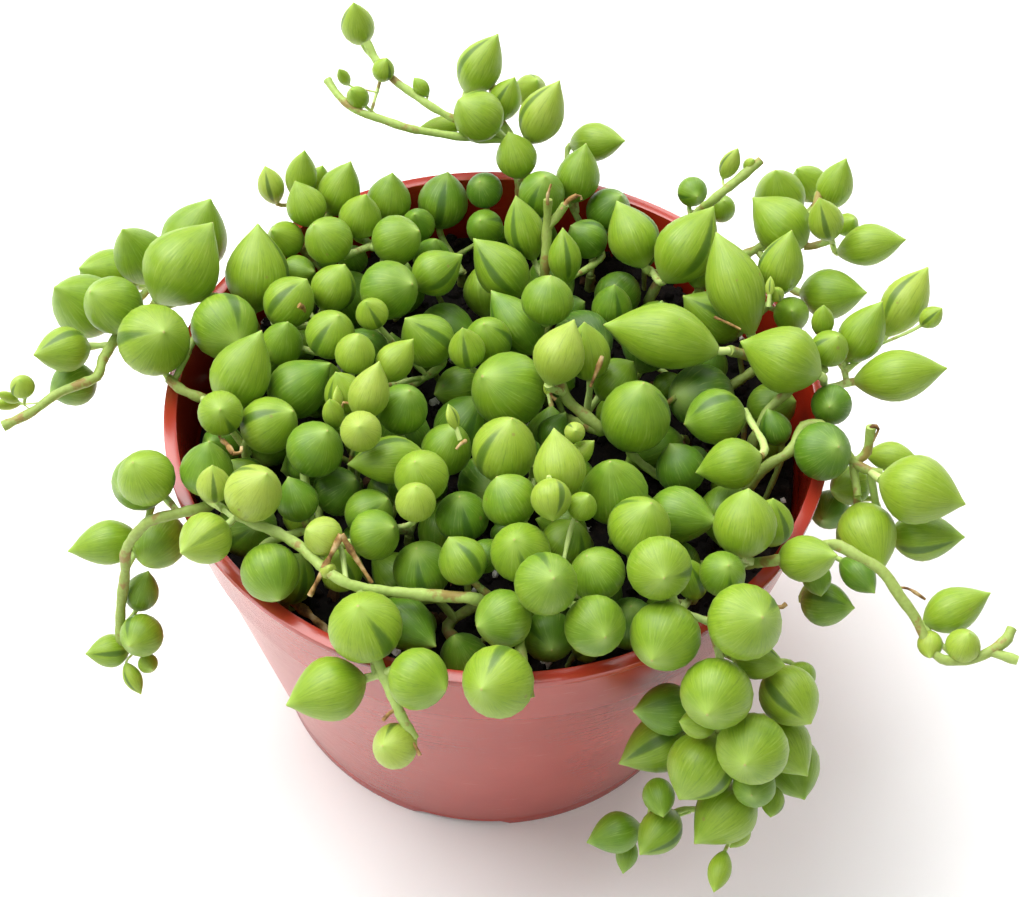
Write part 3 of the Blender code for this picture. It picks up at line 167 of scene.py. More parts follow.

# %% [markdown]
# ## The readings
#
# No rule gives this plant's shape, so its leaves were read one by one: where the leaf's middle and its
# tip are seen, how high it is, how wide and long, and how old. Old leaves are dark, and age 1 is a fresh,
# yellow-green one. The age was read from how dark each leaf looks, so a leaf that lies in shade under
# others was read as old, and its dark tone is partly painted shade. The solids were grown from the same
# readings by the same steps, so each fine strand lies inside its solid's place.

# %% Leaf readings
# Each strand's leaves: (seen x, seen y, tip's seen x, tip's seen y, height over the rim, width,
# length) in millimetres, and the age from 0, dark, to 1, fresh. Seen places are on the rim's plane.
# Ages follow how dark each leaf looks, so the low ages of shaded leaves are partly painted shade
LEAVES = {
    "strand_back_left_rim": [
        (-43.3, 48.6, -45, 53.8, 6, 4.7, 8, 0.95),
        (-38.4, 51.4, -38.5, 58.3, 9, 5.6, 12, 0.7),
        (-34.7, 49.6, -34.5, 54.5, 5, 5, 9, 0.6),
        (-37.7, 42.4, -40.3, 48.3, 7, 7, 9.5, 0.6),
        (-30.9, 48.6, -29.6, 56.1, 6, 7.5, 12, 0.6),
        (-38.3, 35.5, -40.9, 37.5, 3.5, 6.5, 9, 0.5),
    ],
    "strand_back_left_inner": [
        (-26.5, 41.9, -26, 47.5, 6, 7.5, 10, 0.6),
        (-21.7, 46.8, -21.7, 53.6, 3, 8, 11, 0.5),
        (-31.8, 34.7, -34.7, 38.5, 9, 8.3, 9.5, 0.5),
        (-19.2, 35.8, -15.4, 38.2, 7, 8.6, 10, 0.45),
        (-16.3, 40.2, -17, 42.8, 2, 6, 8, 0.3),
    ],
    "strand_back_middle": [
        (-11.9, 46.7, -11.5, 54.5, 0, 9, 11.5, 0.3),
        (-11.9, 29.1, -7.5, 33.6, 6, 8.3, 10.5, 0.4),
        (-4.7, 49.9, -5.6, 52, 4, 6.5, 7, 0.2),
        (-4.2, 40.1, -5, 42, 1, 6.5, 8, 0.2),
    ],
    "strand_top": [
        (5.6, 50, 6, 54.5, 7, 8.7, 10, 0.3),
        (1, 59.7, -0.7, 66.2, 11, 7.3, 10, 0.55),
        (-4.1, 58.6, -3.5, 63, 7, 6.5, 9, 0.3),
        (-5.5, 68.2, -9.5, 72.5, 13, 9, 10.5, 0.55),
        (5.7, 70.7, 8.6, 80.5, 15, 8, 13.5, 0.8),
        (3.2, 78.2, 4.3, 81.5, 11, 6, 9, 0.7),
        (-2.3, 76, -0.8, 82.8, 15, 6, 11, 0.6),
        (-6.2, 84.9, -3.3, 94.7, 18, 8, 13, 0.6),
        (-13.2, 66.9, -18.8, 65.7, 12, 3.5, 9, 0.7),
        (-30, 73.8, -31.5, 76, 17.5, 4, 6, 0.6),
        (-33.2, 79.6, -34.4, 82, 19, 2.2, 5, 0.7),
        (-18.1, 77.7, -19.7, 80.5, 18, 2.8, 4.5, 0.6),
        (-25.7, 82.4, -25.3, 86, 20, 4, 5.5, 0.6),
        (-31.9, 96.2, -33.4, 103, 23, 6, 10, 0.7),
    ],
    "strand_back_right_edge": [
        (12.4, 54.7, 13.7, 63.2, 8, 8, 12, 0.5),
        (15.9, 63.9, 21.3, 64.8, 8, 7, 12, 0.5),
        (7.6, 59, 9, 62.5, 5, 7, 9, 0.4),
        (18.3, 47.9, 20.5, 52, 1, 8, 10, 0.3),
        (22.8, 51.5, 22.8, 55, 4, 4.5, 8, 0.5),
        (27.3, 49.2, 27.3, 52.5, 4, 5, 7, 0.7),
    ],
    "strand_back_right": [
        (22.8, 39.9, 20, 49.3, 7, 9, 13, 0.5),
        (31.9, 38.4, 37.3, 49.6, 7, 10.5, 16, 0.5),
        (33.7, 51.8, 34.5, 50.5, 7, 5.3, 6, 0.3),
        (39, 47.5, 39.5, 49.5, 5, 5, 6, 0.5),
        (41.5, 43, 41.6, 43.6, 4, 6.5, 8, 0.2),
        (40.9, 60, 42.6, 64.5, 15, 3.4, 7, 0.9),
        (44.6, 59.8, 45.2, 61.4, 15, 2.4, 4, 0.9),
    ],
    "strand_centre_back": [
        (2.6, 39.9, 0.6, 48.5, 7, 7.4, 13, 0.5),
        (-0.6, 31.7, -5.6, 38.7, 3, 9, 14, 0.4),
        (10.3, 33.7, 9.9, 41.2, 6, 5.8, 11, 0.45),
        (7.6, 23.1, 8, 29, 9, 8.7, 9.5, 0.4),
        (14.3, 38.6, 11.3, 41.8, 0, 7, 8.5, 0.25),
    ],
    "strand_right_back_outer": [
        (48.9, 44.8, 44.2, 51.2, 8, 10, 13, 0.6),
        (50.1, 53, 49.8, 59.3, 6, 9, 13, 0.6),
        (54.3, 54.9, 52.4, 58.8, 7, 6.5, 10, 0.6),
        (60.4, 55.8, 62.9, 63.2, 10, 6.4, 11, 0.6),
        (56.9, 46.2, 56.2, 51.8, 11, 6, 9.5, 0.7),
        (61.6, 45, 63, 46.5, 8, 4, 6, 0.7),
        (65.4, 39.8, 72.1, 42, 8, 7.2, 13, 0.6),
        (57.7, 27.7, 63.9, 28.2, 3, 8.7, 13, 0.5),
    ],
    "strand_right_back_inner": [
        (40.2, 28.9, 37.4, 42, 9, 9.7, 19, 0.6),
        (49.3, 34, 51.5, 42.8, 10, 7.7, 13, 0.6),
        (47.7, 26.8, 47.9, 28, 10, 2.5, 4, 0.9),
        (49.8, 22.8, 50, 23.4, 4, 6, 8, 0.5),
        (35.8, 21, 31.1, 25.6, 1, 9, 14, 0.4),
    ],
    "strand_right_outer": [
        (46.8, 11.7, 39.9, 15.3, 8, 11, 14.5, 0.6),
        (55.3, 20.9, 55.8, 24.8, 8, 3.8, 7, 0.7),
        (56.2, 14.7, 57.8, 17.6, 8, 6.2, 7, 0.5),
        (62.3, 18.7, 66.4, 26.4, 7, 7.5, 13, 0.6),
        (70.6, 26.3, 75.8, 36, 9, 7.6, 14, 0.8),
        (74.3, 23.2, 76.5, 25.5, 9, 3.5, 5.5, 0.7),
        (67.5, 9.4, 76, 11.5, 4, 8.6, 16, 0.6),
        (55.4, 1.8, 55, 1.4, 4.5, 6.6, 7.5, 0.3),
    ],
    "strand_long_leaf": [
        (27, 14.8, 16.6, 17.4, 10, 10.6, 20, 0.6),
        (18.8, 22.5, 19.3, 27.6, 0, 7, 10, 0.3),
    ],
    "strand_centre": [
        (10, 10.7, 12.2, 18.9, 13, 8.2, 11.5, 1),
        (14.8, 11.7, 14.2, 18.5, 10, 7.5, 12, 0.6),
        (19.5, 5.6, 22.6, 10, 4, 7.5, 9, 0.4),
        (1.9, 17.1, -2.9, 24.9, 5, 8.5, 14, 0.3),
    ],
    "strand_centre_big": [
        (1.5, 2.4, -3, 5.2, 8, 12.3, 14, 0.4),
        (-5.6, 11.2, -6.5, 15.7, 8, 6, 9, 0.5),
        (-2.2, 13.2, -3, 17, 3, 8, 10, 0.4),
    ],
    "strand_centre_left_back": [
        (-13.1, 12.7, -16.9, 17.3, 5, 9, 12, 0.35),
        (-20, 23.6, -16.2, 25.2, 7, 10, 11.5, 0.4),
        (-23.8, 17.5, -25, 20, 10, 5.7, 7, 0.6),
        (-17.8, 7.7, -15.3, 12.8, 10, 6, 9, 0.8),
    ],
    "strand_left_back_inner": [
        (-29.5, 23.8, -28, 29.6, 6, 7.7, 9.5, 0.45),
        (-36.6, 28, -34, 28.5, 2, 6.5, 8, 0.4),
        (-36.8, 19.7, -34.4, 25.3, 7, 8.4, 10.5, 0.45),
        (-29.2, 12.9, -28.3, 17.3, 8, 8.5, 9.5, 0.4),
        (-36.2, 10.8, -35.9, 15.7, 5, 7, 10, 0.35),
    ],
    "strand_centre_left_young": [
        (-24.6, 8.1, -24.4, 12.4, 11, 6.5, 8, 0.8),
        (-25.5, 0.5, -27.4, 4.8, 9, 6.5, 9, 0.6),
        (-21.5, 0.5, -20.4, 7.3, 13, 6.4, 10.5, 0.95),
        (-27.1, -5.2, -28, -2, 11, 3.5, 7, 0.9),
        (-22.3, -8.6, -22.7, -7.5, 13, 6.3, 7, 1),
    ],
    "strand_left_outer": [
        (-44.7, 27.2, -45.9, 38.7, 6, 11, 16, 0.5),
        (-55.3, 27.5, -51.5, 38.2, 8, 12.9, 17, 0.55),
        (-55.2, 34.9, -54.1, 44.6, 4, 11.5, 16, 0.5),
        (-64.7, 29.7, -68.6, 35.7, 3, 9, 15, 0.5),
        (-66.1, 18, -70.5, 21, 6, 9.5, 12, 0.5),
        (-69, 23, -74.6, 25, 1, 10, 14, 0.5),
        (-72.1, 17.2, -77.9, 21.2, 1, 11, 15, 0.5),
        (-73.7, 5.9, -78.3, 4.6, 3, 7.5, 11, 0.5),
        (-70.6, -1.3, -74, -3.5, -3, 7.5, 10, 0.4),
        (-78.7, -2.1, -79.6, -0.6, 2, 4, 5, 0.8),
        (-80.5, -4.5, -82.6, -3.6, 0, 1.8, 5, 0.9),
        (-80.5, -6, -83, -6.2, -1, 2, 6, 0.9),
    ],
    "strand_left_rim": [
        (-47.4, 12.5, -44.5, 9, 5, 11, 13, 0.35),
        (-58.3, 8.7, -57.1, 10.5, 6, 11.7, 12, 0.5),
        (-58, -2.3, -57.5, -0.8, 0, 8.5, 9.5, 0.35),
        (-42.1, 3.3, -40.1, 12.6, 9, 9.5, 15, 0.5),
        (-32.8, 1.2, -28.3, 7, 6, 9.5, 13, 0.35),
    ],
    "strand_left_inner": [
        (-50.8, -11.9, -51.5, -7, 5.5, 9, 11, 0.4),
        (-46.1, -6.3, -46.2, -5.7, 9, 7, 8, 0.5),
        (-37, -7.7, -33.5, -4.5, 9, 9, 11, 0.45),
    ],
    "strand_left_front_hanging": [
        (-54.4, -18.8, -57, -16, 5, 9.1, 10, 0.5),
        (-55, -20.5, -57.5, -22, -2, 9, 10, 0.3),
        (-51.3, -32.3, -53.1, -36.7, -8, 8.6, 11, 0.45),
        (-59.6, -33.1, -65.4, -34.9, -10, 7.2, 12, 0.5),
        (-52.3, -41.2, -52, -37.5, -17, 5.5, 9, 0.4),
        (-51.2, -49.4, -52.7, -51.3, -20, 7, 8, 0.4),
        (-55.5, -52.5, -58.8, -53.2, -25, 5.5, 8, 0.5),
        (-49.4, -54.2, -48.6, -55.2, -26, 3.3, 4, 0.6),
        (-51.3, -56.5, -49.6, -59.3, -28, 3, 6, 0.7),
    ],
    "strand_front_left_shoot": [
        (-46, -20.5, -46.3, -15.2, 3, 8.5, 11, 0.4),
        (-44.3, -20, -45, -16.4, 9, 5.2, 7.5, 0.95),
        (-38.3, -21.5, -36.8, -17.5, 12, 8.5, 10.5, 0.95),
        (-44.6, -31.5, -47.8, -34.2, 9, 7.8, 10.5, 0.7),
        (-26.2, -29.6, -28.8, -28.5, 9, 6, 6.5, 1),
        (-24.7, -36, -24.5, -35.4, 8, 2.6, 3.2, 1),
        (-18.2, -47.3, -19.5, -43.8, 5, 10.8, 11, 0.55),
        (-22.4, -56, -28.2, -58.7, 1, 9.5, 13, 0.55),
        (-9.2, -54, -5.2, -55.6, 2, 9.3, 10, 0.5),
        (-12.3, -66, -14, -66, -5, 6.7, 7, 1),
    ],
    "strand_centre_left_front": [
        (-29, -12.3, -27.5, -8.5, 8, 9, 10, 0.4),
        (-31, -22, -32.8, -17.6, 5, 6.5, 8.5, 0.35),
        (-24.6, -20.5, -22, -18, 2, 8, 8.5, 0.25),
        (-32.5, -35, -30.5, -39.8, 4, 8.8, 10.5, 0.4),
        (-21.7, -34.2, -22, -31, 3, 6.5, 8, 0.45),
        (-18.7, -30.5, -16, -29, 5, 8, 8.5, 0.45),
    ],
    "strand_centre_left": [
        (-15.6, -3, -14.8, 1, 8, 8, 10, 0.35),
        (-17.3, -14.2, -23.8, -15.3, 7, 7.5, 13, 0.45),
        (-11.8, -16.8, -13, -14, 10, 8.3, 9, 0.6),
        (-12.3, -22, -12.5, -19, 13, 6, 7, 0.95),
        (-19.2, -24.4, -16.5, -21.5, 4, 7.5, 9, 0.3),
        (-8, -11.2, -6.5, -6, 6, 8, 10, 0.4),
    ],
    "strand_front_centre": [
        (-4.9, -24.3, -5.5, -20.5, 4, 8.3, 9, 0.2),
        (-11.3, -34.2, -12.5, -30.5, 5, 9.3, 9.5, 0.3),
        (-3.7, -34.6, -6, -30.3, 7, 7.5, 8.5, 0.4),
        (-11.5, -45, -7, -48.5, -1, 8, 13, 0.25),
        (2.5, -43, -1.3, -44.7, 5, 8.8, 9.5, 0.4),
        (0.8, -55, -1.5, -56.2, 2, 10.8, 11, 0.55),
    ],
    "strand_centre_pale": [
        (1.5, -10.5, 2.4, -4, 9, 10, 12.5, 0.65),
        (10.6, -13, 9.6, -5, 12, 8, 11.5, 0.8),
        (14.5, -11.3, 16.8, -8.6, 12, 3.5, 6, 0.8),
        (12.8, -7, 12.9, -6.6, 14, 3.2, 3.5, 1),
        (9.2, -20.5, 9.6, -24.8, 14, 6, 7, 0.75),
        (13.9, -21.2, 15, -19, 11, 4.5, 5.5, 0.6),
        (2.6, -20.6, 0.3, -16.2, 9, 8.5, 9, 0.45),
    ],
    "strand_front_middle": [
        (3.2, -31.2, 2.2, -29, 9, 9.2, 9.5, 0.4),
        (11.8, -28.3, 13.5, -24.2, 7, 7.8, 8.5, 0.35),
        (9.5, -37.7, 10.6, -36.6, 9, 9.2, 9.6, 0.4),
        (17.5, -34.2, 15.8, -31, 8, 8.7, 8.7, 0.4),
        (17, -42.8, 18.6, -44.6, 5, 9.5, 9.5, 0.4),
        (9.2, -46.2, 9.6, -48.5, 2, 8, 8.5, 0.2),
        (21.8, -43, 22, -40, 1, 8, 9.5, 0.15),
    ],
    "strand_centre_right": [
        (23, -2.5, 24.5, 4.8, 8, 11, 14, 0.35),
        (35.7, -2, 30.5, -3.8, 5, 9, 11, 0.3),
        (29.5, -12.6, 27.9, -7.5, 2, 8, 9.5, 0.2),
        (37.6, -11.7, 31.8, -13.9, 6, 8, 11, 0.5),
    ],
    "strand_right_front_inner": [
        (18.8, -17.3, 18.2, -11.6, 8, 10.5, 13.5, 0.45),
        (22.5, -25.6, 24.3, -20.8, 11, 9.7, 11, 0.5),
        (29.8, -22.3, 35.4, -23.5, 5, 8.8, 13, 0.35),
    ],
    "strand_front_right_hanging": [
        (26.2, -34.7, 27, -36.5, 10, 9.4, 9.6, 0.45),
        (31.5, -34.5, 30.8, -30.6, 6, 5, 9, 0.4),
        (37.6, -42, 40.3, -41, 6, 11.2, 11, 0.5),
        (27.4, -46.2, 25.4, -50.4, 4, 11, 11.5, 0.5),
        (34.2, -54, 32.9, -57.5, -1, 10.6, 11.5, 0.5),
        (37.7, -62, 36.6, -64.5, -7, 10.7, 11, 0.5),
        (44.2, -56, 47, -60.5, -5, 8.8, 11, 0.6),
        (43.3, -64.2, 46, -68.8, -12, 8.5, 11, 0.6),
        (44.8, -66.5, 46.1, -71.6, -19, 9, 13, 0.5),
        (32.3, -66.8, 29, -72.7, -13, 10.3, 12, 0.45),
        (25.3, -64.7, 19.4, -68.2, -18, 9, 13.5, 0.4),
        (26.9, -59, 22.3, -59.4, -12, 8, 11, 0.3),
        (31.3, -60.2, 28.6, -60, -9, 4.5, 7.5, 0.6),
        (38.2, -68.9, 37.8, -70.3, -15, 6.5, 7, 0.3),
        (34.9, -74.4, 30.5, -79, -20, 9.5, 13, 0.5),
        (41, -72, 40.6, -74.5, -20, 3.6, 6, 0.4),
        (36.2, -77, 35, -79.3, -24, 4, 6, 0.7),
        (33.6, -83, 32.7, -86.2, -28, 3.6, 7.5, 0.7),
        (25.9, -72, 26.4, -75, -22, 5, 8, 0.4),
        (24.6, -77, 22, -80.5, -27, 6.5, 11, 0.35),
        (19.8, -78.4, 15.9, -79.9, -30, 6.5, 9.5, 0.3),
        (20.8, -81, 20.2, -84.2, -32, 3.5, 6, 0.4),
        (40.7, -49.6, 44.6, -50, 0, 5.5, 9.5, 0.5),
        (46.8, -51.4, 47.8, -53.5, -5, 4.6, 5.5, 0.5),
    ],
    "strand_right_hanging": [
        (53.4, -8.2, 56, -7, 6, 9.3, 9.5, 0.3),
        (68, -16.3, 74.9, -18.6, 3, 11, 14.5, 0.65),
        (68.5, -24.3, 74.7, -24.2, -6, 8, 13, 0.4),
        (59.4, -24.7, 60.7, -31.5, -3, 9.5, 14, 0.6),
        (64.6, -8.8, 69.1, -9.2, 1, 5, 9, 0.6),
        (55.5, -15, 52.5, -16, -3, 6.5, 9, 0.6),
        (53.3, -20, 52, -22, -9, 6.5, 8, 0.3),
    ],
    "strand_right_front": [
        (39.8, -24, 40.8, -17, 9, 9.5, 11.5, 0.6),
        (43.8, -23.6, 44.5, -19, 4, 7, 10, 0.5),
        (36, -33, 37, -31.5, 7, 7, 7.5, 0.35),
        (49.5, -29.5, 54.2, -28.8, 8, 7, 12, 0.65),
        (71.5, -37.9, 77.4, -34.6, 1, 6.8, 11.5, 0.6),
        (71.3, -44.3, 72.5, -42, 0, 5.2, 6, 0.85),
        (67.3, -44.6, 67, -47, -1, 3.8, 5.5, 0.9),
        (57, -32.6, 59.4, -35.7, -3, 5, 9.5, 0.3),
        (52, -38, 56.2, -38.4, -6, 7, 10, 0.35),
        (50.5, -33.5, 50.9, -36.8, -1, 4.5, 7, 0.4),
    ],
}
print(sum(len(rows) for rows in LEAVES.values()), "leaves on", len(LEAVES), "strands")

# %% Stem readings
# Roots that are given here, in millimetres: the rest stand under their own leaves
ROOTS = {
    "strand_top": (2.0, 38.0),
    "strand_left_outer": (-41.0, 12.0),
    "strand_left_front_hanging": (-40.0, -22.0),
    "strand_left_back_inner": (-31.0, 20.0),
    "strand_front_left_shoot": (2.5, -37.0),
    "strand_front_right_hanging": (28.0, -32.0),
    "strand_right_front": (38.0, -28.0),
    "strand_right_hanging": (42.5, -13.5),
    "strand_right_outer": (41.5, -6.5),
    "strand_right_back_outer": (38.0, 33.0),
    "strand_right_back_inner": (37.0, 24.0),
    "strand_back_right": (30.0, 38.0),
    "strand_long_leaf": (36.0, 10.0),
}

# The stems that show, from the root outwards, as (seen x, seen y, height over the rim). A second
# line of the same strand starts at a point of an earlier one.
STEMS = {
    "strand_top": [
        [(2, 44, -6), (2, 49, 1), (1, 56, 5), (0, 64, 8), (-3, 70, 10), (-4, 77, 12), (-5.6, 82, 14)],
        [(0, 64, 8), (-4.6, 63.6, 10), (-9.5, 63.9, 12), (-14.6, 64.7, 13), (-19.7, 65.7, 14),
         (-24.9, 67.9, 15), (-29.8, 70, 16), (-33.6, 74, 17), (-36.2, 78.5, 18)],
        [(-3, 70, 10), (-6.5, 68.4, 12.5), (-10.2, 68.4, 14), (-15.8, 72.2, 16), (-20, 76.1, 17),
         (-23.6, 79.6, 18), (-27.2, 84.8, 19), (-29.6, 90.4, 21)],
    ],
    "strand_back_right": [
        [(33, 43.5, 3), (37.4, 50, 11), (42, 55.5, 13.5), (46.7, 61.3, 16)],
    ],
    "strand_centre_back": [
        [(7, 30.5, 3), (7.1, 40.5, 9), (7.1, 48, 14)],
        [(7.1, 40.5, 9), (9, 44, 11), (10.3, 47, 13)],
    ],
    "strand_long_leaf": [
        [(44.5, 10.5, -3), (42, 12, 4), (38.8, 13, 9)],
    ],
    "strand_centre": [
        [(17.3, -6, 2), (13.5, -2, 5), (11.3, 0.5, 6.5), (10, 4.5, 9)],
    ],
    "strand_left_outer": [
        [(-43.5, 16.5, -4), (-47, 18.5, 2.4), (-51, 20, 3), (-57.5, 18, 3), (-62.6, 14.5, 2.5),
         (-64.7, 10.6, 2), (-66.6, 4.1, 2), (-66.8, 0.7, 1.5), (-72.5, -3.2, 1), (-75.8, -7.3, 0),
         (-80, -10.7, -1)],
    ],
    "strand_left_rim": [
        [(-46, -4, -1), (-49, -2.8, 2), (-52.5, -1.2, 3), (-54.8, 1, 3)],
    ],
    "strand_front_left_shoot": [
        [(-1.5, -40.2, 4), (-4.8, -39.9, 5), (-12.3, -39.6, 6), (-19.5, -38.9, 7), (-22.8, -37.6, 8),
         (-26.2, -35, 8), (-28.5, -32.5, 8), (-32.8, -29.6, 8), (-36.5, -28, 8.5), (-40, -26.5, 8)],
        [(-19.5, -38.9, 7), (-18.6, -43, 5.5), (-16.8, -49, 4), (-15.5, -52.5, 3), (-12.8, -58.6, 0),
         (-11.2, -61.7, -2), (-9.5, -64.6, -4)],
    ],
    "strand_front_centre": [
        [(2.6, -39, -4), (4.2, -43.5, 1), (4.9, -46.8, 3), (5.6, -51.3, 3), (6.8, -57, 1)],
    ],
    "strand_right_front": [
        [(41, -31, 3), (46, -29.8, 7), (50, -28, 7.3), (53.4, -26.7, 7), (57.2, -28.8, 7), (60.8, -31.5, 6),
         (63, -36, 4), (65, -39.8, 2), (66, -43.2, 0), (68, -47, -1), (72.4, -46.9, -1), (75.7, -45.3, 0),
         (78.5, -43, 1), (79.5, -41, 1.5)],
        [(75.7, -45.3, 0), (79.6, -46.7, 0)],
    ],
    "strand_right_hanging": [
        [(43.2, -12.5, 0), (48, -8.3, 3), (50.5, -3, 4), (53.5, -2.6, 5), (56.5, -6.6, 5),
         (58, -10, 3), (60.5, -11.8, 3), (62.5, -12.2, 3)],
        [(58, -10, 3), (58, -12.5, 1.5), (58.2, -17, 0)],
        [(58, -10, 3), (60.3, -8.3, 4), (61.6, -2.5, 9)],
    ],
    "strand_right_back_outer": [
        [(35.5, 29.5, -3), (41, 35, 2.8), (47, 39.4, 4), (52, 43.6, 6.3), (55.6, 48, 8), (57, 53, 9)],
    ],
    "strand_left_front_hanging": [
        [(-41.5, -23.5, -4), (-45, -25, 2), (-49, -26.5, 2.6), (-53.5, -28.5, 2), (-56, -33.5, -4),
         (-55.5, -38, -11), (-55, -45, -18), (-54, -51, -24)],
    ],
    "strand_right_outer": [
        [(41.4, -8, -3), (43.2, -3.5, 0), (45, 0.5, 2), (50, 6, 4.5), (55, 10, 5)],
    ],
}

# %% [markdown]
# ## From readings to places
#
# A leaf that is seen at one point of the rim's plane lies somewhere on the sight line through it, and
# the reading's height says where. Its tip's sight line gives its direction in the same way.

# %% From readings to places
def on_sight_line(x, y, height):
    """The point at this height over the rim that is seen at (x, y) of the rim's plane, pot frame."""
    point = np.array([x, y, 0.0])
    point = point + (EYE - point) * (height / EYE[2])
    return point + np.array([0.0, 0.0, POT_HEIGHT])


def sight_direction(point):
    line = EYE + np.array([0.0, 0.0, POT_HEIGHT]) - point
    return line / np.linalg.norm(line)


def tip_direction(middle, tip_x, tip_y, length):
    """The leaf points to where its tip's sight line meets a sphere of half its length, on the near side."""
    eye = EYE + np.array([0.0, 0.0, POT_HEIGHT])
    line = np.array([tip_x, tip_y, POT_HEIGHT]) - eye
    line = line / np.linalg.norm(line)
    nearest = eye + line * ((middle - eye) @ line)
    reach = (length / 2) ** 2 - np.sum((nearest - middle) ** 2)
    target = nearest - line * math.sqrt(max(reach, 0.0))
    return (target - middle) / np.linalg.norm(target - middle)


def read_leaves():
    """Every leaf as a dictionary: its strand, middle, direction, width and length."""
    leaves = []
    for strand, readings in LEAVES.items():
        for x, y, tip_x, tip_y, height, width, length, age in readings:
            middle = on_sight_line(x, y, height)
            axis = tip_direction(middle, tip_x, tip_y, length)
            leaf = {
                "strand": strand, "middle": middle, "axis": axis, "width": width, "length": length,
                "age": age}
            leaves.append(leaf)
    return leaves


def read_routes():
    """The stems that show, as lists of points in the pot's frame."""
    routes = {}
    for strand, lines in STEMS.items():
        routes[strand] = [np.array([on_sight_line(*reading) for reading in line]) for line in lines]
    return routes


def wall_radii(height):
    """Inner and outer radius of the pot's wall at this height."""
    collar_foot = POT_HEIGHT - COLLAR_HEIGHT
    if height >= collar_foot:
        share = (POT_HEIGHT - height) / COLLAR_HEIGHT
        outer = RIM_RADIUS - LIP_OVERHANG - COLLAR_DRAFT * share
        inner = RIM_RADIUS - RIM_WIDTH - share * (COLLAR_DRAFT - 0.4)
    else:
        share = (collar_foot - height) / collar_foot
        top = RIM_RADIUS - LIP_OVERHANG - COLLAR_DRAFT - COLLAR_STEP
        outer = top - (top - BASE_RADIUS) * share
        inner = outer - WALL
    return inner, outer


# %% [markdown]
# ## Making room
#
# Places read by eye overlap a little. Blender could push leaves apart with a rigid body simulation, but
# a few lines do it with more control: each leaf is five balls, balls of different leaves push each
# other apart, and a weak pull keeps each leaf on its sight line, so that it stays put in the picture.

# %% Balls in place of leaves
BALL_PLACES = ((0.13, 0.52), (0.32, 0.92), (0.5, 1.06), (0.7, 0.84), (0.88, 0.42))


def balls_of(leaves, middles):
    """Balls that fill each leaf, as centres and radii, five to a leaf."""
    axes = np.array([leaf["axis"] for leaf in leaves])
    lengths = np.array([leaf["length"] for leaf in leaves])
    widths = np.array([leaf["width"] for leaf in leaves])
    centres = []
    radii = []
    for share, size in BALL_PLACES:
        centres.append(middles + axes * (lengths * (share - 0.5))[:, None])
        radii.append(widths / 2 * size)
    return np.stack(centres, axis=1), np.stack(radii, axis=1)


def pot_push(centre, radius):
    """How far a ball must move to be clear of the wall, the soil and the surface below."""
    push = np.zeros(3)
    floor = radius + GAP
    across = math.hypot(centre[0], centre[1])
    outward = np.array([centre[0], centre[1], 0.0]) / max(across, 1e-6)
    if centre[2] < floor:
        push[2] += floor - centre[2]
    over = centre[2] - POT_HEIGHT
    if over < radius + GAP:
        inner, outer = wall_radii(min(centre[2], POT_HEIGHT))
        outer = max(outer, RIM_RADIUS) if over > -LIP_HEIGHT - radius else outer
        into_wall = min(across + radius + GAP - inner, outer + radius + GAP - across)
        middle_radius = (inner + outer) / 2
        if into_wall > 0:
            up = radius + GAP - over
            if over > -1.0 and up < into_wall * 2:
                push[2] += up
            elif across < middle_radius:
                push -= outward * into_wall
            else:
                push += outward * into_wall
        if across < middle_radius and centre[2] < SOIL_TOP + radius + GAP:
            push[2] += SOIL_TOP + radius + GAP - centre[2]
    return push


# %% [markdown]
# The pushes are worked out for pairs of leaves that are near each other, and the list of pairs is made
# afresh now and then.

# %% Push the leaves apart
ROOM_ROUNDS = 260
LIST_EVERY = 20
NEAR_ENOUGH = 22.0
PUSH_SHARE = 0.35
DEPTH_PULL = 0.004
PICTURE_PULL = 0.05


def near_pairs(middles):
    distance = np.linalg.norm(middles[:, None] - middles[None], axis=2)
    return np.nonzero(np.triu(distance < NEAR_ENOUGH, 1))


def pair_pushes(centres, radii, first, second):
    """Each ball's push away from the balls of the other leaf of a pair."""
    push = np.zeros_like(centres)
    line = centres[first][:, :, None, :] - centres[second][:, None, :, :]
    distance = np.linalg.norm(line, axis=3) + 1e-9
    deep = np.maximum(radii[first][:, :, None] + radii[second][:, None, :] + GAP - distance, 0.0)
    shift = line * (deep / distance)[..., None] * 0.5
    np.add.at(push, first, shift.sum(axis=2))
    np.add.at(push, second, -shift.sum(axis=1))
    return push


def stem_pushes(centres, radii, stem_points, foreign):
    """Each ball's push away from the stems that show, other than its own strand's."""
    line = centres[:, :, None, :] - stem_points[None, None, :, :]
    distance = np.linalg.norm(line, axis=3) + 1e-9
    deep = np.maximum(radii[:, :, None] + STEM_RADIUS + GAP - distance, 0.0) * foreign[:, None, :]
    return np.sum(line * (deep / distance)[..., None], axis=2)


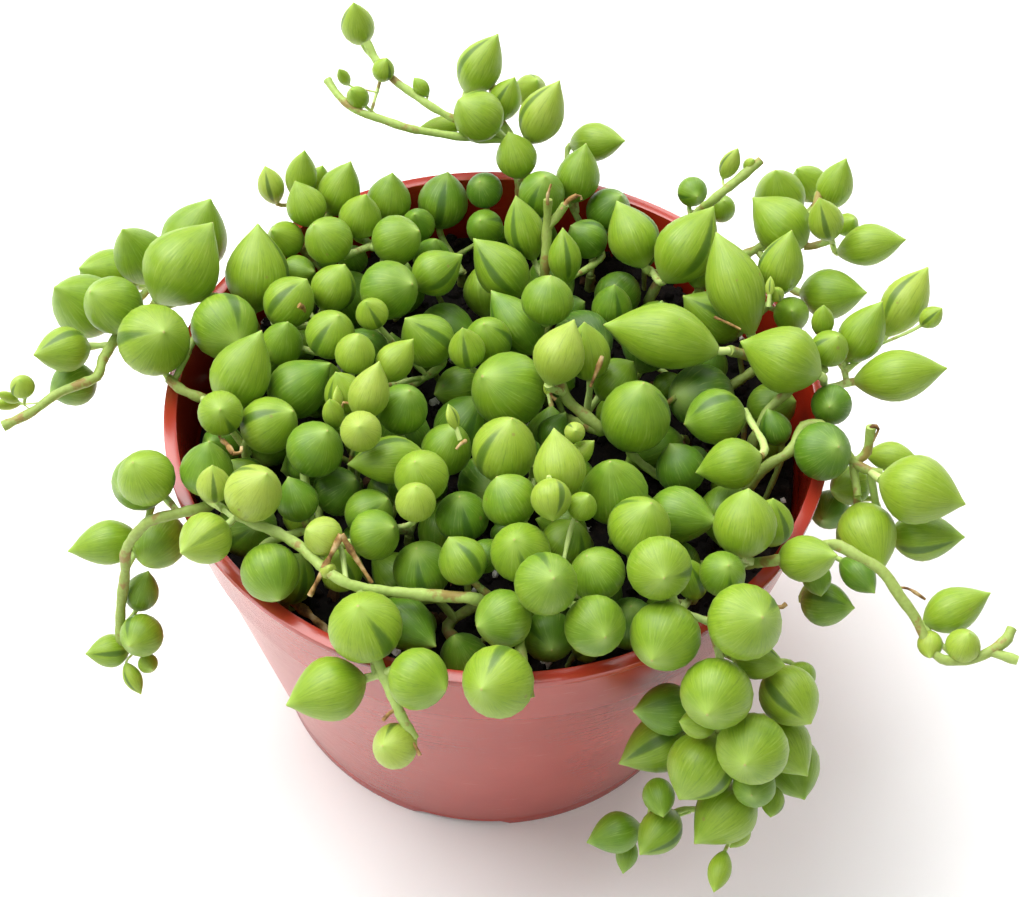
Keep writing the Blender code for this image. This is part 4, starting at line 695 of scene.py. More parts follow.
def make_room(leaves, routes):
    """Moves leaves apart, mostly nearer or further along their sight lines, so that each keeps its place."""
    start = np.array([leaf["middle"] for leaf in leaves])
    sight = np.array([sight_direction(point) for point in start])
    strands = np.array([leaf["strand"] for leaf in leaves])
    middles = start.copy()
    lines = [(name, sampled(line, 1.4)) for name, own in routes.items() for line in own]
    stem_points = np.concatenate([points for _, points in lines])
    stem_names = np.concatenate([[name] * len(points) for name, points in lines])
    foreign = strands[:, None] != stem_names[None, :]
    everyone = np.arange(len(leaves))
    for turn in range(ROOM_ROUNDS):
        if turn % LIST_EVERY == 0:
            first, second = near_pairs(middles)
        centres, radii = balls_of(leaves, middles)
        push = pair_pushes(centres, radii, first, second)
        if turn % 2 == 0:
            push += 2 * stem_pushes(centres, radii, stem_points, foreign)
        for index, ball in zip(*np.nonzero(centres[:, :, 2] < POT_HEIGHT + radii + GAP)):
            push[index, ball] += pot_push(centres[index, ball], radii[index, ball])
        strongest = push[everyone, np.argmax(np.linalg.norm(push, axis=2), axis=1)]
        middles += PUSH_SHARE * (0.5 * strongest + 0.25 * push.sum(axis=1))
        away = start - middles
        along = np.sum(away * sight, axis=1)[:, None] * sight
        middles += DEPTH_PULL * along + PICTURE_PULL * (away - along)
    for leaf, middle in zip(leaves, middles):
        leaf["middle"] = middle


def sampled(line, spacing):
    """Points along a line of points, about this far apart."""
    points = [line[0]]
    for start, end in zip(line[:-1], line[1:]):
        steps = max(1, int(math.ceil(np.linalg.norm(end - start) / spacing)))
        points += [start + (end - start) * (step + 1) / steps for step in range(steps)]
    return np.array(points)


def smooth_line(line, spacing):
    """A smooth curve through the line's own points, by a Catmull-Rom rule."""
    line = np.asarray(line)
    ends = np.vstack([2 * line[0] - line[1], line, 2 * line[-1] - line[-2]])
    points = [line[0]]
    for before, start, end, after in zip(ends[:-3], ends[1:-2], ends[2:-1], ends[3:]):
        steps = max(1, int(round(np.linalg.norm(end - start) / spacing)))
        for step in range(1, steps + 1):
            t = step / steps
            a = 2 * start
            b = end - before
            c = 2 * before - 5 * start + 4 * end - after
            d = 3 * start - before - 3 * end + after
            points.append(0.5 * (a + b * t + c * t * t + d * t ** 3))
    return np.array(points)


# %% [markdown]
# Leaves that still touch are slimmed by a fifth at most.

# %% Slim what still touches
SHRINK_TRIES = 12
SMALLEST_SHARE = 0.8


def settle_sizes(leaves):
    """Slims leaves that still touch another, by a fifth at most, and leaves out those that still do."""
    kept = list(leaves)
    for leaf in kept:
        leaf["share"] = 1.0
    for _ in range(SHRINK_TRIES):
        pairs = touching_pairs(kept)
        if not pairs:
            return kept
        for first, second, amount in pairs:
            for leaf in (kept[first], kept[second]):
                slimmer = max(SMALLEST_SHARE, leaf["share"] - min(0.06, amount / leaf["width"]))
                leaf["width"] *= slimmer / leaf["share"]
                leaf["share"] = slimmer
    while True:
        pairs = touching_pairs(kept)
        if not pairs:
            return kept
        first, second, _ = max(pairs, key=lambda row: row[2])
        lower = first if kept[first]["middle"][2] < kept[second]["middle"][2] else second
        kept.pop(lower)


def touching_pairs(leaves):
    """Pairs of leaves of different strands nearer to each other than the gap, and by how much."""
    middles = np.array([leaf["middle"] for leaf in leaves])
    centres, radii = balls_of(leaves, middles)
    strands = np.array([leaf["strand"] for leaf in leaves])
    line = centres[:, None, :, None, :] - centres[None, :, None, :, :]
    distance = np.linalg.norm(line, axis=4)
    deep = radii[:, None, :, None] + radii[None, :, None, :] + GAP * 0.6 - distance
    deep = deep.max(axis=(2, 3))
    np.fill_diagonal(deep, 0)
    deep[strands[:, None] == strands[None, :]] = 0
    return [(a, b, deep[a, b]) for a, b in zip(*np.nonzero(np.triu(deep) > 0.0))]

# %% [markdown]
# ## Growing the strands
#
# Each strand starts at a root in the soil. Its leaves join on one after another, the cheapest next: a
# stalk is cheap where it is short, turns little and passes no other leaf. That is how shortest paths
# are found in a network, and it gives branching strands that never cut through a neighbour.

# %% Roots
def place_roots(leaves, routes):
    """A root for each strand: under its own leaves or its stem's start, inside the pot and apart."""
    names = list(LEAVES)
    roots = []
    for name in names:
        if name in ROOTS:
            roots.append(np.array(ROOTS[name]))
            continue
        own = np.array([leaf["middle"][:2] for leaf in leaves if leaf["strand"] == name])
        roots.append(own.mean(axis=0))
    roots = np.array(roots)
    for _ in range(80):
        line = roots[:, None] - roots[None]
        distance = np.linalg.norm(line, axis=2) + 1e-9
        deep = np.where((distance < ROOT_SPACING) & (distance > 1e-6), ROOT_SPACING - distance, 0)
        roots = roots + np.sum(line / distance[:, :, None] * deep[:, :, None], axis=1) * 0.3
        across = np.linalg.norm(roots, axis=1)
        roots = roots * np.minimum(1.0, ROOT_RING / np.maximum(across, 1e-6))[:, None]
    return dict(zip(names, roots))


def leaf_base(leaf):
    return leaf["middle"] - leaf["axis"] * leaf["length"] / 2


def own_balls(leaves, test):
    """Centres and radii of the balls of the leaves that pass a test."""
    chosen = [leaf for leaf in leaves if test(leaf)]
    if not chosen:
        return np.zeros((0, 3)), np.zeros(0)
    centres, radii = balls_of(chosen, np.array([leaf["middle"] for leaf in chosen]))
    return centres.reshape(-1, 3), radii.reshape(-1)


def clearance(points, radius, centres, radii):
    """The smallest gap between a stem along these points and the balls."""
    if not len(centres):
        return 99.0
    distance = np.linalg.norm(points[:, None, :] - centres[None, :, :], axis=2)
    return float((distance - radii[None, :]).min() - radius)


def ball_clearance(first, second):
    """The smallest gap between two sets of balls."""
    if not len(second[0]):
        return 99.0
    distance = np.linalg.norm(first[0][:, None, :] - second[0][None, :, :], axis=2)
    return float((distance - first[1][:, None] - second[1][None, :]).min())


def clear_of_pot(points, radius):
    for point in points:
        if point[2] < radius + GAP:
            return False
        across = math.hypot(point[0], point[1])
        over = point[2] - POT_HEIGHT
        if over < radius + GAP:
            inner, outer = wall_radii(min(point[2], POT_HEIGHT))
            outer = RIM_RADIUS if over > -LIP_HEIGHT - radius - GAP else outer
            if inner - radius - GAP < across < outer + radius + GAP:
                return False
            if across <= inner and point[2] < SOIL_TOP + radius + GAP:
                return False
    return True


# %% [markdown]
# A stalk's cost grows with its length, its turn and how little room it has. A leaf that no stalk of its
# own strand can reach is taken over by the nearest strand that can.

# %% Grow a strand
NEAREST_TRIED = 40
LEAST_CLEAR = 0.12
CROSSING_COST = 6.0
TURN_COST = 2.0
SHORTEST_STALK = 0.8
LONGEST_STALK = 40.0
EASY_TURN = -0.1
SHARPEST_TURN = -0.7
SHARP_COST = 12.0


def best_stalk(leaf, tree, own, foreign, taken, limit):
    """The cheapest clear way to the leaf's base from a point of the tree, as (cost, start, way)."""
    base = leaf_base(leaf)
    order = np.argsort(np.linalg.norm(tree - base, axis=1))[:NEAREST_TRIED]
    best = None
    for start in tree[order]:
        length = np.linalg.norm(base - start)
        if length < SHORTEST_STALK or length > limit:
            continue
        turn = float((base - start) @ leaf["axis"]) / length
        way = sampled(np.array([start, base]), 0.8)
        if turn < SHARPEST_TURN or not clear_of_pot(way[1:], NECK_RADIUS):
            continue
        if clearance(way, NECK_RADIUS, *foreign) < LEAST_CLEAR:
            continue
        if clearance(way, NECK_RADIUS, *taken) < LEAST_CLEAR:
            continue
        crossed = max(0.0, -clearance(way, NECK_RADIUS, *own))
        cost = length + CROSSING_COST * crossed + TURN_COST * (1 - turn)
        cost += SHARP_COST if turn < EASY_TURN else 0.0
        if cost < limit:
            best = (cost, start, way)
            limit = cost
    return best


def grow_strand(name, leaves, root, routes, taken):
    """Joins each leaf of a strand to its stem by the shortest clear way, from the root outwards."""
    trunk_top = np.array([root[0], root[1], SOIL_TOP + 2.0])
    tree = [trunk_top]
    stems = [np.array([trunk_top])]
    if name in routes:
        first = routes[name][0]
        lead = trunk_lead(trunk_top, first[0], name, leaves, taken)
        stems = [np.vstack([lead, first[1:]])] + routes[name][1:]
        for stem in stems:
            tree += list(sampled(stem, 1.5))
    foreign = own_balls(leaves, lambda leaf: leaf["strand"] != name)
    waiting = [leaf for leaf in leaves if leaf["strand"] == name]
    grown = []
    while waiting:
        best = None
        for leaf in waiting:
            own = own_balls(waiting + grown, lambda other: other is not leaf)
            found = best_stalk(leaf, np.array(tree), own, foreign, taken, best[0] if best else LONGEST_STALK)
            if found:
                best = (*found, leaf)
        if best is None:
            break
        _, leaf_start, way, leaf = best
        leaf["start"] = leaf_start
        grown.append(leaf)
        waiting = [other for other in waiting if other is not leaf]
        tree += list(way[1:])
    return stems, grown, waiting, np.array(tree)


def adopt(leaf, strands, trees, leaves, routes, roots):
    """Joins a leaf that its own strand can't reach to the nearest strand that can."""
    best = None
    body = own_balls([leaf], lambda other: True)
    for name, tree in trees.items():
        foreign = own_balls(leaves, lambda other: other["strand"] != name and other is not leaf)
        taken = others_taken(name, trees, routes, roots)
        room = min(ball_clearance(body, foreign), ball_clearance(body, taken))
        if room < LEAST_CLEAR:
            continue
        own = own_balls(leaves, lambda other: other["strand"] == name)
        found = best_stalk(leaf, tree, own, foreign, taken, best[0] if best else LONGEST_STALK)
        if found:
            best = (*found, name)
    if best is None:
        return False
    leaf["strand"] = best[3]
    leaf["start"] = best[1]
    strands[best[3]][2].append(leaf)
    trees[best[3]] = np.vstack([trees[best[3]], best[2][1:]])
    return True


def trunk_lead(bottom, top, name, leaves, taken):
    """A bent way from the root to the start of the stem that shows, clear of other strands' leaves."""
    foreign, radii = own_balls(leaves, lambda leaf: leaf["strand"] != name)
    best = None
    for lift in (0.0, 0.25, 0.5, 0.75, 1.0):
        for turn in range(12):
            for reach in (0.0, 4.0, 8.0, 12.0):
                bend = bottom * (1 - lift) + top * lift
                bend = bend + np.array([math.cos(turn), math.sin(turn), 0]) * reach
                bend[2] = max(bend[2], SOIL_TOP + STEM_RADIUS + GAP)
                way = sampled(np.array([bottom, bend, top]), 1.0)
                gap = min(clearance(way, STEM_RADIUS, foreign, radii), clearance(way, STEM_RADIUS, *taken))
                if not clear_of_pot(way, STEM_RADIUS):
                    gap -= 5
                score = min(gap, 0.3) * 20 - reach * 0.1
                if best is None or score > best[0]:
                    best = (score, np.array([bottom, bend, top]))
    return best[1]


def others_taken(name, trees, routes, roots):
    """Balls along every stem and root of the other strands."""
    centres = []
    radii = []
    for other, points in trees.items():
        if other != name:
            centres.append(points)
            radii.append(np.full(len(points), NECK_RADIUS + 0.1))
    for other, lines in routes.items():
        for line in lines:
            if other != name:
                centres.append(sampled(line, 1.0))
                radii.append(np.full(len(centres[-1]), STEM_RADIUS))
    for other, root in roots.items():
        if other != name:
            centres.append(np.array([[root[0], root[1], SOIL_TOP + rise] for rise in (0.0, 1.0, 2.0)]))
            radii.append(np.full(3, STEM_RADIUS))
    return np.concatenate(centres), np.concatenate(radii)


def grow_plant():
    """Every strand as its root, its stems and its leaves, each leaf with the point that it grows from."""
    leaves = read_leaves()
    routes = read_routes()
    make_room(leaves, routes)
    leaves = settle_sizes(leaves)
    roots = place_roots(leaves, routes)
    strands = {}
    trees = {}
    orphans = []
    for name in sorted(LEAVES, key=lambda name: name not in routes):
        taken = others_taken(name, trees, routes, roots)
        stems, grown, waiting, trees[name] = grow_strand(name, leaves, roots[name], routes, taken)
        strands[name] = (roots[name], stems, grown)
        orphans += waiting
    for leaf in orphans:
        if not adopt(leaf, strands, trees, leaves, routes, roots):
            leaves = [other for other in leaves if other is not leaf]
    return strands

# %% Grow the plant
plant = grow_plant()
print(len(plant), "strands with", sum(len(leaves) for _, _, leaves in plant.values()), "leaves grown")

# %% [markdown]
# ## Helpers for colours and nodes
#
# Colours are written as sRGB hex, as a paint chart or a colour picker gives them, and Blender's shaders
# want linear light, so one function turns them. Another adds any node with its settings and links. The
# sums, noises and overlays that come up again and again get short names, which keeps each material and
# each Geometry Nodes tree readable from top to bottom.

# %% Colours and nodes
def paint(code):
    """An sRGB hex colour as linear RGBA."""
    shares = [int(code[place:place + 2], 16) / 255 for place in (1, 3, 5)]
    return (*[v / 12.92 if v <= 0.04045 else ((v + 0.055) / 1.055) ** 2.4 for v in shares], 1.0)


def add_node(tree, kind, inputs=None, **settings):
    """Adds a node. Inputs are values or other nodes' sockets, by the input's name or number."""
    node = tree.nodes.new(kind)
    for name, value in settings.items():
        setattr(node, name, value)
    for name, value in (inputs or {}).items():
        if isinstance(value, bpy.types.NodeSocket):
            tree.links.new(value, node.inputs[name])
        else:
            node.inputs[name].default_value = value
    return node


def math_node(tree, operation, *values):
    """The result of one Math node."""
    return add_node(tree, "ShaderNodeMath", dict(enumerate(values)), operation=operation).outputs[0]


def times(tree, first, second):
    return math_node(tree, "MULTIPLY", first, second)


def plus(tree, first, second):
    return math_node(tree, "ADD", first, second)


def minus(tree, first, second):
    return math_node(tree, "SUBTRACT", first, second)


def vector_math(tree, operation, *values):
    """A Vector Math node."""
    return add_node(tree, "ShaderNodeVectorMath", dict(enumerate(values)), operation=operation)


def parts_of(tree, vector):
    """The X, Y and Z of a vector."""
    return add_node(tree, "ShaderNodeSeparateXYZ", {0: vector}).outputs


def carried(tree, name, output="Fac"):
    """What the mesh carries under this name."""
    return add_node(tree, "ShaderNodeAttribute", attribute_name=name).outputs[output]


def object_place(tree):
    """The point's place on its object, in metres."""
    return add_node(tree, "ShaderNodeTexCoord").outputs["Object"]


def cloud_field(tree, where, scale, detail, roughness=0.5):
    """A noise from 0 to 1."""
    inputs = {"Vector": where, "Scale": scale, "Detail": detail, "Roughness": roughness}
    return add_node(tree, "ShaderNodeTexNoise", inputs).outputs["Fac"]


def blend_colours(tree, share, first, second):
    """Two colours mixed by a share."""
    inputs = {"Factor": share, 6: first, 7: second}
    return add_node(tree, "ShaderNodeMix", inputs, data_type="RGBA").outputs[2]


def ramp(tree, share, stops):
    """A colour ramp with (position, hex colour) stops."""
    node = add_node(tree, "ShaderNodeValToRGB", {"Fac": share})
    while len(node.color_ramp.elements) < len(stops):
        node.color_ramp.elements.new(0.5)
    for element, (position, code) in zip(node.color_ramp.elements, stops):
        element.position = position
        element.color = paint(code)
    return node.outputs["Color"]


def fade(tree, value, low, high):
    """0 below low, 1 above high, smooth between them."""
    inputs = {"Value": value, "From Min": low, "From Max": high}
    return add_node(tree, "ShaderNodeMapRange", inputs, interpolation_type="SMOOTHSTEP").outputs[0]


def tinted(tree, colour, mask, strength, code):
    """The colour with another laid over it where the mask is."""
    return blend_colours(tree, times(tree, mask, strength), colour, paint(code))


def vary_gloss(tree, shader, field, least, most):
    """Roughness between two values by a field."""
    span = add_node(tree, "ShaderNodeMapRange", {"Value": field, "To Min": least, "To Max": most})
    tree.links.new(span.outputs[0], shader.inputs["Roughness"])


def emboss(tree, shader, height, strength, depth):
    """Bumps the surface by a height field. The depth is in millimetres."""
    bump = add_node(tree, "ShaderNodeBump", {
        "Height": height, "Strength": strength, "Distance": depth * MM})
    tree.links.new(bump.outputs[0], shader.inputs["Normal"])


def new_material(name, **constants):
    """A material with a Principled shader. Constants are its own sockets' values."""
    made = bpy.data.materials.new(name)
    made.use_nodes = True
    tree = made.node_tree
    shader = tree.nodes["Principled BSDF"]
    for socket, value in constants.items():
        shader.inputs[socket.replace("_", " ")].default_value = value
    return made, tree, shader


def per_mm(count):
    """A texture scale for a pattern that repeats this many times a millimetre."""
    return count / MM


# %% [markdown]
# ## The leaf's skin
#
# A succulent's leaf has a smooth waxy skin over watery flesh. The eye reads it from four things: a soft
# light that seeps through the flesh, a satin gloss, fine lines from base to tip, and a dark window
# stripe through which light enters. Each leaf carries its age as an attribute, so one material serves
# all, from dark old leaves to yellow-green shoots. The lines follow the leaf, so they read an
# attribute that holds each point's place on the leaf before it is turned and stretched.

# %% Leaf skin
LEAF_TONES = (
    (0.0, "#385f08"), (0.25, "#5c860f"), (0.5, "#84a41c"), (0.75, "#96b02f"), (1.0, "#a5b944"))
DARK_FLESH = "#3f6416"
WINDOW_FACING = 0.976  # the cosine of the window's half-width about the leaf's axis
WINDOW_TAPER = 0.02
WINDOW_SOFTNESS = 0.02


def place_on_leaf(tree):
    """The unit direction around the leaf's axis, as its parts, and the share of the way to the tip."""
    place = carried(tree, "grown", "Vector")
    flat = vector_math(tree, "MULTIPLY", place, (1.0, 1.0, 0.0)).outputs[0]
    around = vector_math(tree, "NORMALIZE", flat).outputs[0]
    return parts_of(tree, around), parts_of(tree, place)["Z"]


def window_stripe(tree, side, along, chance):
    """The window runs down the leaf's Y side and fades towards both ends. About half the leaves show it."""
    middle = times(tree, minus(tree, along, 0.52), 2.0)
    edge = plus(tree, WINDOW_FACING, times(tree, times(tree, middle, middle), WINDOW_TAPER))
    stripe = fade(tree, minus(tree, side["Y"], edge), 0.0, WINDOW_SOFTNESS)
    stripe = times(tree, stripe, fade(tree, along, 0.1, 0.3))
    stripe = times(tree, stripe, fade(tree, along, 0.97, 0.8))
    return times(tree, stripe, fade(tree, chance, 0.42, 0.55))


def scars(tree, where):
    """Specks of 0.2 to 0.4 mm, in a few of the cells of a Voronoi pattern."""
    cells = add_node(tree, "ShaderNodeTexVoronoi", {"Vector": where, "Scale": per_mm(0.42)}).outputs
    lot = math_node(tree, "FRACT", times(tree, parts_of(tree, cells["Color"])["X"], 7.0))
    return times(tree, fade(tree, cells["Distance"], 0.16, 0.1), fade(tree, lot, 0.93, 0.96))


def make_leaf_skin():
    made, tree, shader = new_material(
        "waxy_leaf_skin", Subsurface_Weight=0.3, Subsurface_Radius=(0.55, 1.0, 0.2),
        Subsurface_Scale=0.0018, Specular_IOR_Level=0.5, Sheen_Weight=0.03, Sheen_Roughness=0.5)
    age = carried(tree, "age")
    chance = carried(tree, "chance")
    where = object_place(tree)
    side, along = place_on_leaf(tree)

    # Each leaf's own tone, blotched by a noise about 3 mm across
    blotch = cloud_field(tree, where, per_mm(0.22), 3.0)
    tone = plus(tree, age, times(tree, minus(tree, blotch, 0.5), 0.35))
    tone = plus(tree, tone, times(tree, minus(tree, chance, 0.5), 0.16))
    green = ramp(tree, tone, LEAF_TONES)

    # Fine lines from base to tip, about 0.35 mm apart on a 10 mm leaf, with short dashes between them
    drawn_out = {"X": side["X"], "Y": side["Y"], "Z": times(tree, along, 0.22)}
    stretched = add_node(tree, "ShaderNodeCombineXYZ", drawn_out).outputs[0]
    lines = cloud_field(tree, stretched, 15.0, 4.0, 0.6)
    green = tinted(tree, green, fade(tree, lines, 0.52, 0.7), 0.26, "#b9cf6c")
    green = tinted(tree, green, fade(tree, lines, 0.47, 0.3), 0.34, DARK_FLESH)
    stripe = window_stripe(tree, side, along, chance)
    green = tinted(tree, green, stripe, 0.72, "#2c560b")
    dashes = cloud_field(tree, stretched, 62.0, 3.0)
    green = tinted(tree, green, fade(tree, dashes, 0.5, 0.34), 0.22, DARK_FLESH)

    # The neck is paler, and the tip ends in a small tan point
    green = tinted(tree, green, fade(tree, along, 0.16, 0.0), 0.55, "#b4cf6d")
    green = tinted(tree, green, fade(tree, along, 0.84, 0.97), 0.35, "#b9d56c")
    green = tinted(tree, green, fade(tree, along, 0.975, 0.993), 0.7, "#b5a368")
    green = tinted(tree, green, scars(tree, where), 0.55, "#8d7a3d")
    tree.links.new(green, shader.inputs["Base Color"])

    # The wax is unevenly worn, which varies the gloss
    wax = cloud_field(tree, where, per_mm(0.6), 4.0)
    vary_gloss(tree, shader, wax, 0.36, 0.52)
    height = plus(tree, times(tree, lines, 0.5), times(tree, wax, 0.4))
    height = plus(tree, height, times(tree, dashes, 0.5))
    height = minus(tree, height, times(tree, stripe, 0.8))
    emboss(tree, shader, height, 0.3, 0.22)
    return made


leaf_skin = make_leaf_skin()
print(leaf_skin.name, "has", len(leaf_skin.node_tree.nodes), "nodes")

# %% [markdown]
# ## The stems' skin
#
# The stems are the same plant, but drier: pale green when young and brown where a bud has dried or
# the stem is old. The solids' stems are 1.9 mm thick, so a noise with a few spots a centimetre gives
# the brown nodes, and a fine one gives the fibres. Dried flower stalks and tendrils are brittle, straw
# to dark brown, with no gloss, so they get a skin of their own.

# %% Stem skin and dry husk
def make_stem_skin():
    made, tree, shader = new_material(
        "fibrous_stem_skin", Subsurface_Weight=0.15, Subsurface_Radius=(0.6, 1.0, 0.3),
        Subsurface_Scale=0.001, Specular_IOR_Level=0.4)
    where = object_place(tree)
    age = carried(tree, "age")
    patches = cloud_field(tree, where, per_mm(0.2), 5.0, 0.6)
    fibres = cloud_field(tree, where, per_mm(1.4), 3.0)
    tone = plus(tree, age, times(tree, minus(tree, fibres, 0.5), 0.5))
    colour = ramp(tree, tone, ((0.0, "#8a7a44"), (0.25, "#8fa04c"), (0.6, "#a9c266"), (1.0, "#c3d884")))
    colour = tinted(tree, colour, fade(tree, patches, 0.55, 0.62), 0.75, "#9a7442")
    tree.links.new(colour, shader.inputs["Base Color"])
    vary_gloss(tree, shader, fibres, 0.45, 0.65)
    emboss(tree, shader, fibres, 0.4, 0.12)
    return made


def make_dry_husk():
    made, tree, shader = new_material("dry_brown_husk", Specular_IOR_Level=0.25, Roughness=0.75)
    grain = cloud_field(tree, object_place(tree), per_mm(0.5), 5.0)
    colour = ramp(tree, grain, ((0.35, "#5d3f22"), (0.5, "#a07c48"), (0.65, "#cbb283")))
    tree.links.new(colour, shader.inputs["Base Color"])
    emboss(tree, shader, grain, 0.5, 0.2)
    return made


stem_skin = make_stem_skin()
dry_husk = make_dry_husk()
print(stem_skin.name, dry_husk.name)

# %% [markdown]
# ## The pot's plastic
#
# A nursery pot is injection-moulded polypropylene, coloured through in terracotta red. It is semi-gloss,
# with faint rings from the mould, dull scuffs from stacking and a little dust from the soil. A pale tint on
# the outer wall is partly a film of dust and partly a painted sheen. The rings follow the pot's height, so
# they read Object coordinates, whose Z is the height.

# %% Pot plastic
RING_SPACING = 1.7


def outside_dust_and_sheen(tree, where, cloud):
    """How much of the pale film lies where the surface faces outwards: partly dust left by handling and
    water, partly a painted sheen for the outer wall's reflection of the white room.
    """
    normal = add_node(tree, "ShaderNodeNewGeometry").outputs["Normal"]
    away = vector_math(tree, "NORMALIZE", where).outputs[0]
    outward = vector_math(tree, "DOT_PRODUCT", normal, away).outputs["Value"]
    return times(tree, fade(tree, outward, 0.1, 0.5), cloud)


def make_pot_plastic():
    made, tree, shader = new_material(
        "moulded_terracotta_polypropylene", IOR=1.5, Specular_IOR_Level=0.7)
    where = object_place(tree)
    cloud = cloud_field(tree, where, per_mm(0.05), 4.0)
    colour = ramp(tree, cloud, ((0.3, "#9c2310"), (0.7, "#a92a14")))
    squeezed = add_node(tree, "ShaderNodeMapping", {"Vector": where, "Scale": (1.0, 1.0, 9.0)}).outputs[0]
    scuff = cloud_field(tree, squeezed, per_mm(0.12), 8.0, 0.7)
    colour = tinted(tree, colour, fade(tree, scuff, 0.6, 0.74), 0.22, "#d79a89")
    grit = cloud_field(tree, where, per_mm(0.9), 6.0, 0.75)
    colour = tinted(tree, colour, fade(tree, grit, 0.64, 0.74), 0.35, "#5a2a20")
    # Pale tint on the outer wall: partly dust, partly painted sheen
    colour = tinted(tree, colour, outside_dust_and_sheen(tree, where, cloud), 0.1, "#c08478")
    tree.links.new(colour, shader.inputs["Base Color"])
    tree.links.new(plus(tree, 0.16, times(tree, scuff, 0.14)), shader.inputs["Roughness"])
    height = parts_of(tree, where)["Z"]
    rings = math_node(tree, "SINE", times(tree, height, TAU / (RING_SPACING * MM)))
    relief = plus(tree, times(tree, rings, 0.03), times(tree, scuff, 0.3))
    emboss(tree, shader, relief, 0.25, 0.2)
    return made


pot_plastic = make_pot_plastic()
print(pot_plastic.name)

# %% [markdown]
# ## The potting mix
#
# Damp peat is nearly black and quite matt. White perlite, which is popped volcanic glass, and chips of
# bark lie in it.

# %% Soil, perlite and bark
def make_grain(name, scale, stops, roughness, depth):
    """A crumbly material: a noise gives its colour and its relief."""
    made, tree, shader = new_material(name, Roughness=roughness, Specular_IOR_Level=0.3)
    grain = cloud_field(tree, object_place(tree), per_mm(scale), 6.0, 0.7)
    tree.links.new(ramp(tree, grain, stops), shader.inputs["Base Color"])
    emboss(tree, shader, grain, 0.8, depth)
    return made


damp_peat = make_grain(
    "damp_peat", 0.5, ((0.3, "#0a0806"), (0.55, "#181210"), (0.75, "#33271d")), 0.9, 0.6)
popped_perlite = make_grain(
    "popped_perlite", 0.9, ((0.3, "#c9c4b6"), (0.6, "#f1efe8")), 0.7, 0.3)
chipped_bark = make_grain(
    "chipped_bark", 0.35, ((0.3, "#2f1d12"), (0.55, "#5b3d25"), (0.75, "#83603c")), 0.8, 0.5)
print(damp_peat.name, popped_perlite.name, chipped_bark.name)

# %% [markdown]
# ## Leaf shapes
#
# Every leaf is a drop: a narrow neck, a full belly and a drawn-out point. Sculpting 210 of them would
# waste effort, so a few drops are made once, on a unit length and half-width, and repeated with each
# leaf's own width, length and turn. Each has a few dozen faces, and one subdivision rounds them after
# they are placed. A point's place on the unshaped drop is stored, for the skin's lines.

# %% Leaf shapes
# (share of the length, share of the half-width), for a plump, a pointed and a long leaf, and a bud.
# Subdividing draws a shape in by a twelfth, so the bellies are wider than 1.
LEAF_OUTLINES = {
    "leaf_0_plump": (
        (0.03, 0.22), (0.12, 0.68), (0.29, 1.04), (0.5, 1.13),
        (0.7, 0.95), (0.85, 0.56), (0.93, 0.22), (0.965, 0.08)),
    "leaf_1_pointed": (
        (0.03, 0.2), (0.11, 0.61), (0.27, 1.02), (0.45, 1.14),
        (0.64, 0.93), (0.8, 0.54), (0.9, 0.23), (0.955, 0.08)),
    "leaf_2_long": (
        (0.03, 0.2), (0.12, 0.55), (0.28, 0.96), (0.46, 1.14),
        (0.64, 0.98), (0.8, 0.58), (0.9, 0.25), (0.955, 0.09)),
    "leaf_3_bud": (
        (0.04, 0.28), (0.16, 0.72), (0.34, 1.07), (0.52, 1.12),
        (0.7, 0.9), (0.84, 0.5), (0.92, 0.22), (0.965, 0.08)),
}
LEAF_SIDES = 10
LEAF_BENDS = (0.03, 0.05, 0.12, 0.02)


def make_leaf_shape(name, outline, bend, shapes):
    """A drop from (0, 0, 0) to (0, 0, 1), a little bent, with its place stored in 'grown'."""
    bm = bmesh.new()
    grown = bm.verts.layers.float_vector.new("grown")
    rings = []
    for share, size in outline:
        lean = bend * math.sin(math.pi * share)
        ring = []
        for step in range(LEAF_SIDES):
            turn = TAU * step / LEAF_SIDES
            x = size * math.sin(turn)
            y = size * math.cos(turn)
            vertex = bm.verts.new((x, y + lean, share))
            vertex[grown] = (math.sin(turn), math.cos(turn), share)
            ring.append(vertex)
        rings.append(ring)
    for low, high in zip(rings, rings[1:]):
        for step in range(LEAF_SIDES):
            after = (step + 1) % LEAF_SIDES
            bm.faces.new((low[after], low[step], high[step], high[after]))
    for ring, share, first in ((rings[0], 0.0, True), (rings[-1], 1.0, False)):
        pole = bm.verts.new((0.0, 0.0, share))
        pole[grown] = (0.0, 0.0, share)
        for step in range(LEAF_SIDES):
            after = (step + 1) % LEAF_SIDES
            corners = (ring[step], ring[after], pole) if first else (ring[after], ring[step], pole)
            bm.faces.new(corners)
    bmesh.ops.recalc_face_normals(bm, faces=bm.faces)
    mesh = finished_mesh(bm, name)
    shapes.objects.link(bpy.data.objects.new(name, mesh))
    return len(mesh.polygons)


leaf_shapes = bpy.data.collections.new("leaf_shapes")
for (name, outline), bend in zip(LEAF_OUTLINES.items(), LEAF_BENDS):
    print(name, make_leaf_shape(name, outline, bend, leaf_shapes), "faces")

# %% [markdown]
# ## A tree that dresses a strand
#
# A strand arrives as a bare skeleton: edges for its stems and stalks, and one loose point for each
# leaf, with the leaf's turn, size, shape and age on the point. The tree puts a leaf on each point and
# sweeps a circle along each stem. Instances would do in Blender alone, but other programs can't read
# them, so they are realised at the end.

# %% Strand tree
def attribute(tree, name, kind="FLOAT"):
    """What the skeleton's points carry under this name."""
    inputs = {"Name": name}
    return add_node(tree, "GeometryNodeInputNamedAttribute", inputs, data_type=kind).outputs["Attribute"]


